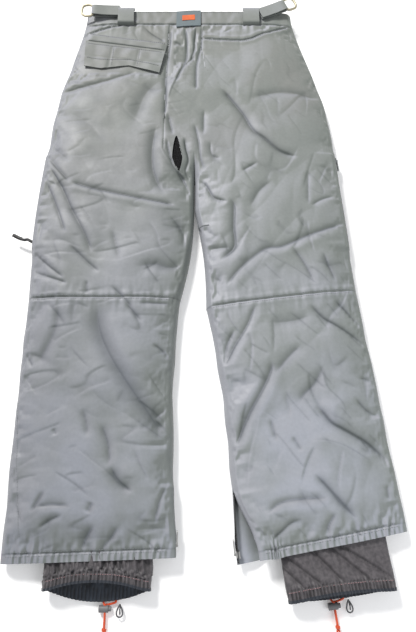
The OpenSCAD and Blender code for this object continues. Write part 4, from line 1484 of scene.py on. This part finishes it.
def zip_frame(base, along, out):
    """A zip's frame: +X along the teeth, +Z out of the garment."""
    x_axis = np.array(along, float)
    z_axis = np.array(out, float)
    y_axis = np.cross(z_axis, x_axis)
    start = np.array(base, float)
    return lambda x, y, z: start + x * x_axis + y * y_axis + z * z_axis


def make_zip(node, body, length, frame_at):
    """Two woven tapes and two rows of teeth that mesh."""
    blocks = []
    for s in (-1, 1):
        y = sorted((s * 0.9, s * TAPE_W))
        blocks.append(((0, y[0], -0.5), (length, y[1], 0.5)))
    tapes = boxes(node + "_tapes", blocks, frame_at, ZIP_TAPE)
    teeth = []
    count = int((length - 6) / TOOTH_PITCH)
    for i in range(count):
        x = 3 + i * TOOTH_PITCH
        teeth.append(((x, -0.6, -1.1), (x + 1.1, 3.0, 1.1)))
        teeth.append(((x + TOOTH_PITCH / 2, -3.0, -1.1), (x + TOOTH_PITCH / 2 + 1.1, 0.6, 1.1)))
    for x in (0, length - 2):
        teeth.append(((x, -3.2, -1.2), (x + 2, 3.2, 1.2)))
    chain = boxes(node + "_teeth", teeth, frame_at, PULLER)
    dress(tapes, body, "zip_tape", node)
    dress(chain, body, "zip_tape")


SIDE_ZIP_L = 190.0
SIDE_ZIP_LOW = 200.0
HEM_ZIP_L = 100.0
HEM_ZIP_LOW = 408.0
LUG = 4.6


def side_zip_frame(side):
    seat = np.array([side * SEAT_HALF[side], 0.0])
    knee = np.array(leg_point(side, side * KNEE_W / 2, 0.0))
    along = (seat - knee) / np.linalg.norm(seat - knee)
    base = seat + (knee - seat) * SIDE_ZIP_LOW / -KNEE_Y
    out = (-along[1], along[0], 0) if side == LEFT else (along[1], -along[0], 0)
    return zip_frame((base[0] - side * 1.5, base[1], ZIP_EDGE_Z), (along[0], along[1], 0), out)


def hem_zip_frame(side):
    """The hem zip follows the inseam, which is slightly hollow."""
    def at(x, y, z):
        down = HEM_ZIP_LOW - x
        inset = inseam_inset(down / SHIN[side])
        px, py = leg_point(side, -side * (KNEE_W / 2 - inset - 2.2 + z), -down)
        return np.array([px, py, ZIP_EDGE_Z + y])
    return at


def make_zips():
    make_zip("fly_zip", "seat", 140.0, zip_frame((0, 154, 9.6), (0, 1, 0), (0, 0, -1)))
    for side in (LEFT, RIGHT):
        name = SIDE_NAME[side]
        make_zip(f"{name}_side_zip", "seat", SIDE_ZIP_L, side_zip_frame(side))
        make_zip(f"{name}_hem_zip", f"{name}_shin", HEM_ZIP_L, hem_zip_frame(side))


def make_side_puller():
    """The left side zip's puller: a short black cord with a moulded end."""
    lug = side_zip_frame(LEFT)(14, 0, LUG)
    ahead = np.array([-39.0, 14.5, 0.0])
    ahead /= np.linalg.norm(ahead)
    cord = smooth_path3([
        lug + ahead * d + np.array([0.0, bend, drop])
        for d, bend, drop in ((0, 0, 0), (6, 0.8, 0), (13, 2.2, -0.4), (20, -0.6, -0.8), (27, -1.0, -1.0))
    ])
    thin = tube("puller_cord", cord, 2.7, BLACK_CORD)
    end = smooth_path3([
        lug + ahead * d + np.array([0.0, bend, -1.0])
        for d, bend in ((25, -0.6), (32, -0.4), (38, 0.6), (43, 1.2))
    ])
    grip = tube("puller_grip", end, 3.4, PULLER, flat=0.6)
    obj = join("left_side_puller", [thin, grip])
    dress(obj, "left_side_pull", "puller", "left_side_pull")


# ---- Gaiters ----------------------------------------------------------------------------

GAITER_HALF_W = 82.0
GAITER_TOP = -345.0          # inside the leg
GAITER_BAND = -458.0
GAITER_RIM = -475.0
GAITER_COLUMNS = 384
GAITER_BACK_RISE = {LEFT: 30.0, RIGHT: 9.0}     # how far short of the lower rim the upper rim stops
GAITER_CORNER_RISE = {LEFT: 17.0, RIGHT: 4.0}   # the same for the mouth's corners
GATHER_PITCH = {LEFT: 5.6, RIGHT: 5.2}


def even_angles():
    """Angles that space the gaiter's columns evenly round its flat oval."""
    a = np.linspace(0, 2 * np.pi, 20001)
    x = GAITER_HALF_W * np.sign(np.cos(a)) * np.abs(np.cos(a)) ** 0.45
    z = 12.0 * np.sign(np.sin(a)) * np.abs(np.sin(a)) ** 0.7
    s = np.concatenate([[0], np.cumsum(np.hypot(np.diff(x), np.diff(z)))])
    return np.interp(np.linspace(0, s[-1], GAITER_COLUMNS + 1), s, a)


def gaiter_ring(side, angle, share, inset):
    """A point of the gaiter and the painted shade there: angle round it, share 0 at the top and 1 at the rim,
    inset into it in mm.
    """
    upper = (1 + np.sin(angle)) / 2
    corner = np.abs(np.cos(angle)) ** 0.9
    rise = GAITER_CORNER_RISE[side] * corner + GAITER_BACK_RISE[side] * upper ** 1.3 * (1 - corner)
    rim_y = GAITER_RIM + rise
    y = GAITER_TOP + (rim_y - GAITER_TOP) * share
    half_h = 10.0 + 3.0 * fade(share, 0.55, 1.0)
    wide = GAITER_HALF_W - 2.0 * fade(share, 0.8, 1.0) - inset
    x = wide * np.sign(np.cos(angle)) * np.abs(np.cos(angle)) ** 0.45
    z = 4.5 + half_h + (half_h - inset) * np.sign(np.sin(angle)) * np.abs(np.sin(angle)) ** 0.7

    # Gathers of the elastic: strong at the band, and on the left gaiter all over
    band = fade(share, 0.80, 0.90)
    strength = band * 2.8 + (1 - band) * (4.6 if side == LEFT else 0.6)
    if inset > 2:
        strength = 0.35 * strength
    pitch = GATHER_PITCH[side]
    slant = 0.22 if side == LEFT else 0.0
    across = x + slant * y * (1 - band)
    wave = gradient_noise(across, y * 0.07, pitch, 71)
    wave = wave + 0.45 * gradient_noise(across, y * 0.2, pitch * 2.3, 72)
    ribs = np.sin(2 * np.pi * (x + 0.6 * gradient_noise(x, y * 0, 9, 73)) / pitch)
    z = z + strength * (wave * (1 - 0.5 * band) + 0.5 * band * ribs) * np.abs(np.sin(angle)) ** 0.5
    z = z - upper * 1.6 * np.exp(-((share - 0.865) / 0.012) ** 2) + upper * 0.9 * band
    # Painted shade in the right gaiter's deep folds
    dark_folds = np.zeros(x.shape)
    if side == RIGHT:
        for start, lean in ((-74, 0.9), (-50, 1.1), (-12, 0.8), (22, 1.0), (48, 1.3)):
            offset = x - start + lean * (y + 430)
            z = z - upper * (1 - band) * 4.5 * np.exp(-np.abs(offset) / 4.0)
            z = z + upper * (1 - band) * 2.0 * np.tanh(offset / 2.0) * np.exp(-np.abs(offset) / 12.0)
            dark_folds = np.maximum(dark_folds, (1 - band) * 0.8 * np.exp(-np.abs(offset) / 2.2))
    x = x + 0.35 * strength * wave
    # Painted shade in the valleys of the gathers
    relief = (1 - band) * (wave if side == LEFT else 0 * wave) + band * (0.5 * wave + 0.5 * ribs)
    dark = np.clip(0.15 - 1.3 * relief, 0, 1)
    if side == RIGHT:
        dark = np.maximum(dark * band, dark_folds)
    return x, y, np.maximum(z, 0.9 + inset * 0.8), dark


def gaiter_grid(side, shares, inset):
    angle, share = np.meshgrid(even_angles(), shares)
    x, y, z, dark = gaiter_ring(side, angle, share, inset)
    x, y = leg_point(side, x + GAITER_X, y)
    grid = np.stack([x, y, z], axis=-1)
    grid[:, -1] = grid[:, 0]
    return grid, dark


def gaiter_piece(name, side, shares, inset, material, thickness, slot, *replaced):
    grid, dark = gaiter_grid(side, shares, inset)
    cells = np.ones((len(shares) - 1, GAITER_COLUMNS), bool)
    obj = sheet(name, [(grid, cells, True, dark)], material, thickness)
    dress(obj, SIDE_NAME[side] + "_shin", slot, *replaced)


def make_gaiter(side):
    name = SIDE_NAME[side]
    band_share = (GAITER_BAND - GAITER_TOP) / (GAITER_RIM - GAITER_TOP)
    sleeve = np.linspace(0, band_share, 46)
    band = np.linspace(band_share, 0.985, 12)
    tape = np.linspace(0.965, 1.0, 5)
    lining = np.linspace(0.35, 0.992, 26)
    start = f"{name}_gaiter_"
    gaiter_piece(start + "sleeve_cloth", side, sleeve, 0.0, GAITER, 0.8, "gaiter", start + "sleeve")
    gaiter_piece(start + "band_cloth", side, band, -0.3, GAITER, 1.0, "gaiter", start + "band")
    gaiter_piece(start + "rim_tape", side, tape, -1.0, GAITER_TAPE, 1.0, "gaiter")
    gaiter_piece(start + "lining", side, lining, 2.6, LINING, 0.6, "lining")
    line = []
    for angle in np.linspace(0.12 * np.pi, 0.88 * np.pi, 40):
        x, y, z, dark = gaiter_ring(side, np.array([angle]), np.array([0.885]), -0.5)
        x, y = leg_point(side, x + GAITER_X, y)
        line.append((float(x[0]), float(y[0]), float(z[0])))
    thread = dashes(f"{name}_gaiter_thread", [np.array(line)], PINK_THREAD, 3.6, 2.4, 0.7)
    dress(thread, f"{name}_shin", "gaiter")


# ---- Stitches ---------------------------------------------------------------------------

def dashes(name, lines, material, pitch=4.0, length=2.8, width=0.55):
    """Short raised stitches along lines of points that already lie on the cloth."""
    blocks = []
    for line in lines:
        steps = np.concatenate([[0], np.cumsum(np.linalg.norm(np.diff(line, axis=0), axis=1))])
        for s in np.arange(pitch / 2, steps[-1] - length, pitch):
            a = np.array([np.interp(s, steps, line[:, k]) for k in range(3)])
            b = np.array([np.interp(s + length, steps, line[:, k]) for k in range(3)])
            blocks.append((a, b))
    points = []
    faces = []
    for a, b in blocks:
        ahead = (b - a) / max(np.linalg.norm(b - a), 1e-6)
        side = np.cross(ahead, (0, 0, 1))
        side /= max(np.linalg.norm(side), 1e-6)
        up = np.cross(side, ahead)
        first = len(points)
        for end, shrink in ((a, 0.4), (a + ahead * 0.5, 1.0), (b - ahead * 0.5, 1.0), (b, 0.4)):
            for u, v in ((-1, -0.5), (1, -0.5), (1, 0.5), (-1, 0.5)):
                points.append(end + side * u * shrink * width / 2 + up * v * shrink * width)
        for ring in range(3):
            for k in range(4):
                n = (k + 1) % 4
                i = first + 4 * ring
                faces.append([i + k, i + n, i + 4 + n, i + 4 + k])
        faces.append([first + k for k in (3, 2, 1, 0)])
        faces.append([first + 12 + k for k in (0, 1, 2, 3)])
    return new_piece(name, points, faces, material)


def beside(path, offset):
    """The same path moved sideways."""
    p = np.asarray(path, float)
    ahead = np.gradient(p, axis=0)
    ahead /= np.linalg.norm(ahead, axis=1, keepdims=True)
    return p + offset * np.column_stack([-ahead[:, 1], ahead[:, 0]])


def even_path(points, step=2.5):
    """A path resampled to even steps."""
    p = np.asarray(points, float)
    steps = np.concatenate([[0], np.cumsum(np.hypot(*np.diff(p, axis=0).T))])
    at = np.linspace(0, steps[-1], max(2, int(steps[-1] / step)))
    return np.column_stack([np.interp(at, steps, p[:, 0]), np.interp(at, steps, p[:, 1])])


def leg_line(side, y, slope=0.0, margin=10.0):
    """A line across the lower leg, y above the knee seam (negative below it)."""
    x = np.linspace(-KNEE_W / 2 + margin, KNEE_W / 2 - margin - 6, 60)
    at = [leg_point(side, a, y + a * slope) for a in x]
    return np.array(at)


def make_stitches():
    on_seat = []
    for path in BACK_SEAMS[:2] + [BACK_SEAMS[2][:2]]:
        inner = even_path(path)[3:-3]
        for offset in (-3.0, 3.0):
            on_seat.append(drape(beside(inner, offset), 0.25))
    for y in (BAND_Y + 2.6, RISE - 3.0):
        for low, high in ((-208, -150), (-108, 108), (150, 208)):
            on_seat.append(drape(even_path([(low, y), (high, y)]), 0.25))
    for side in (LEFT, RIGHT):
        on_seat.append(drape(even_path(leg_line(side, 3.2)), 0.25))
    seat = dashes("seat_stitches", on_seat, THREAD)
    dress(seat, "seat", "shell")
    for side in (LEFT, RIGHT):
        name = SIDE_NAME[side]
        below = dashes(f"{name}_knee_stitches", [drape(even_path(leg_line(side, -3.2)), 0.25)], THREAD)
        knee_blend(below)
        slope = math.tan(HEM_SLANT[side])
        margin = 42.0 if side == RIGHT else 8.0
        x = np.linspace(-KNEE_W / 2 + margin, KNEE_W / 2 - 16, 70)
        lines = []
        for above in (HEM_H + 2.6, HEM_H - 3.0):
            at = np.array([leg_point(side, a, -SHIN[side] + a * slope + above) for a in x])
            lines.append(drape(even_path(at), 0.25))
        hem = dashes(f"{name}_hem_stitches", lines, THREAD)
        dress(hem, f"{name}_shin", "band")
    outseam_path = even_path([(-269, -475), (-266, -519), (-258, -586), (-244, -680)])
    outseam = dashes("left_outseam_stitches", [drape(outseam_path, 0.3)], THREAD)
    dress(outseam, "left_shin", "shell")
    bar = drape(even_path([(22, -158), (43, -158)], 1.0), 0.5)
    tack = dashes("crotch_bar_tack", [bar, bar + (0, 1.0, 0)], THREAD, 1.2, 1.1, 0.9)
    dress(tack, "seat", "shell")

    along = np.linspace(0.02, 0.98, 60)
    flap_lines = [[flap_point(u, 0.09) for u in along], [flap_point(u, 0.66 + 0.06 * u) for u in along]]
    flap_lines += [[flap_point(u, v) for v in np.linspace(0.12, 0.96, 20)] for u in (0.36, 0.69)]
    on_flap = [np.array(line) + (0, 0, 0.9) for line in flap_lines]
    dress(dashes("pocket_flap_stitches", on_flap, THREAD), "pocket_flap", "shell")
    on_welt = [np.array([welt_point(u, v) for u in along]) + (0, 0, 0.5) for v in (0.12, 0.88)]
    dress(dashes("pocket_welt_stitches", on_welt, THREAD), "seat", "shell")


# ---- Drawcords --------------------------------------------------------------------------

CORD_X = {LEFT: 28.0, RIGHT: 4.0}
CORD_L = 36.0
CORD_Z = 5.4
CORD_R = 1.6
KNOT_R = 2.0


def make_drawcord(side):
    """Two strands out of the gaiter's rim, through the lock, tied in a knot."""
    name = SIDE_NAME[side]
    parts = []
    for strand, (start_x, lift) in enumerate(((-3.0, 1.25), (15.0, -1.25))):
        local = [
            (CORD_X[side] + start_x, GAITER_RIM + 2.5, 3.4), (CORD_X[side] + start_x, GAITER_RIM - 0.5, 4.0),
            (CORD_X[side] + start_x * 0.3, GAITER_RIM - 3.5, CORD_Z + lift),
            (CORD_X[side], GAITER_RIM - 5, CORD_Z + lift),
            (CORD_X[side], GAITER_RIM - 20, CORD_Z + lift),
            (CORD_X[side], GAITER_RIM - CORD_L, CORD_Z + lift),
        ]
        at = smooth_path3([(*leg_point(side, x, y), z) for x, y, z in local])
        parts.append(tube(f"strand_{strand}", at, CORD_R, CORD, 10))
    knot_x = CORD_X[side]
    knot_y = GAITER_RIM - CORD_L
    turns = np.linspace(0, 3.4 * np.pi, 40)
    knot = [
        (*leg_point(side, knot_x + KNOT_R * math.cos(a), knot_y - 2.2 + 0.75 * a / np.pi),
         CORD_Z + KNOT_R * math.sin(a))
        for a in turns
    ]
    parts.append(tube("knot", knot, CORD_R, CORD, 10))
    for lean in (-2.5, 2.0):
        tail = [
            (*leg_point(side, knot_x + lean * t, knot_y - 1 - 8 * t), CORD_Z - 1.5 * t)
            for t in np.linspace(0, 1, 6)
        ]
        parts.append(tube("tail", tail, CORD_R * 0.9, CORD, 10))
    obj = join(f"{name}_drawcord_braid", parts)
    dress(obj, f"{name}_shin", "cord", f"{name}_drawcord")


def make_boot_hook(side):
    """A wire loop shaped like a drop, hanging from the gaiter's rim."""
    name = SIDE_NAME[side]
    top_x = CORD_X[side] + 22.0
    path = []
    for a in np.linspace(0, 2 * np.pi, 40, endpoint=False):
        drop = (1 - math.cos(a)) / 2
        path.append((*leg_point(side, top_x + 6.2 * math.sin(a) * drop ** 0.6, -478.0 - 17.0 * drop), 6.6))
    ring = tube("loop", path, 1.15, HOOK, 10, closed=True)
    middle = [
        (*leg_point(side, top_x + 0.5, -480.0 - 11 * t), 6.6 + 2.5 * math.sin(math.pi * t))
        for t in np.linspace(0, 1, 8)
    ]
    tongue = tube("tongue", middle, 1.0, HOOK, 10)
    obj = join(f"{name}_boot_hook_wire", [ring, tongue])
    dress(obj, f"{name}_boot_hook", "hook", f"{name}_boot_hook")


# ---- Carried-over hardware --------------------------------------------------------------

HARDWARE = {
    "snap_caps": ZIP_METAL, "snap_studs": ZIP_METAL, "fly_slider": ZIP_METAL, "fly_pull": ZIP_METAL,
    "left_side_slider": PULLER, "right_side_slider": COATED, "right_side_pull": COATED,
    "left_hem_slider": ZIP_METAL, "right_hem_slider": ZIP_METAL, "left_hem_pull": ZIP_METAL,
    "right_hem_pull": ZIP_METAL, "left_cord_lock": TOGGLE, "right_cord_lock": TOGGLE,
    "left_lock_button": TOGGLE, "right_lock_button": TOGGLE,
}


def finish_hardware():
    for node, material in HARDWARE.items():
        mesh = nodes[node].data
        mesh.materials.clear()
        mesh.materials.append(material)


make_linings()
make_flat_fittings()
make_keepers()
make_zips()
make_side_puller()
for side in (LEFT, RIGHT):
    make_strap(side)
    make_gaiter(side)
    make_drawcord(side)
    make_boot_hook(side)
make_stitches()
finish_hardware()


# ---- Camera, light and floor ------------------------------------------------------------

def aim(obj, place, target):
    obj.location = [v * MM for v in place]
    look = Vector([(t - p) * MM for t, p in zip(target, place)])
    obj.rotation_euler = look.to_track_quat("-Z", "Y").to_euler()


def area_light(name, place, target, size, watts, color):
    light = bpy.data.lights.new(name, "AREA")
    light.shape = "DISK"
    light.size = size * MM
    light.energy = watts
    light.color = color
    obj = bpy.data.objects.new(name, light)
    bpy.context.scene.collection.objects.link(obj)
    aim(obj, place, target)


def studio():
    middle = (40.0, -326.5, 22.0)
    camera = bpy.data.objects.new("camera", bpy.data.cameras.new("camera"))
    camera.data.lens = 31.0
    camera.data.sensor_width = 36.0
    camera.data.clip_start = 0.01
    bpy.context.scene.collection.objects.link(camera)
    aim(camera, (40.0, -622.5, 913.0), middle)
    bpy.context.scene.camera = camera

    floor_cloth = Shader("pale_floor", linear(250, 250, 250), 0.75)
    floor_cloth.set("Roughness", floor_cloth.range(floor_cloth.noise(6.0), 0.3, 0.7, 0.7, 0.8))
    floor_cloth.bsdf.inputs["Emission Color"].default_value = (1.0, 1.0, 1.0, 1.0)
    floor_cloth.bsdf.inputs["Emission Strength"].default_value = 0.15
    half = 3000.0
    corners = [(-half, -half, 0), (half, -half, 0), (half, half, 0), (-half, half, 0)]
    new_piece("floor", corners, [[0, 1, 2, 3]], floor_cloth.material)

    world = bpy.data.worlds.new("studio")
    world.use_nodes = True
    world.node_tree.nodes["Background"].inputs["Color"].default_value = (0.97, 0.98, 1.0, 1.0)
    world.node_tree.nodes["Background"].inputs["Strength"].default_value = 0.50
    bpy.context.scene.world = world
    area_light("key", (-1500, 2200, 2700), middle, 900, 176.0, (1.0, 0.985, 0.96))
    area_light("fill", (1300, -1500, 1300), middle, 1400, 14.0, (0.96, 0.97, 1.0))
    bpy.context.scene.view_settings.view_transform = "Standard"


studio()
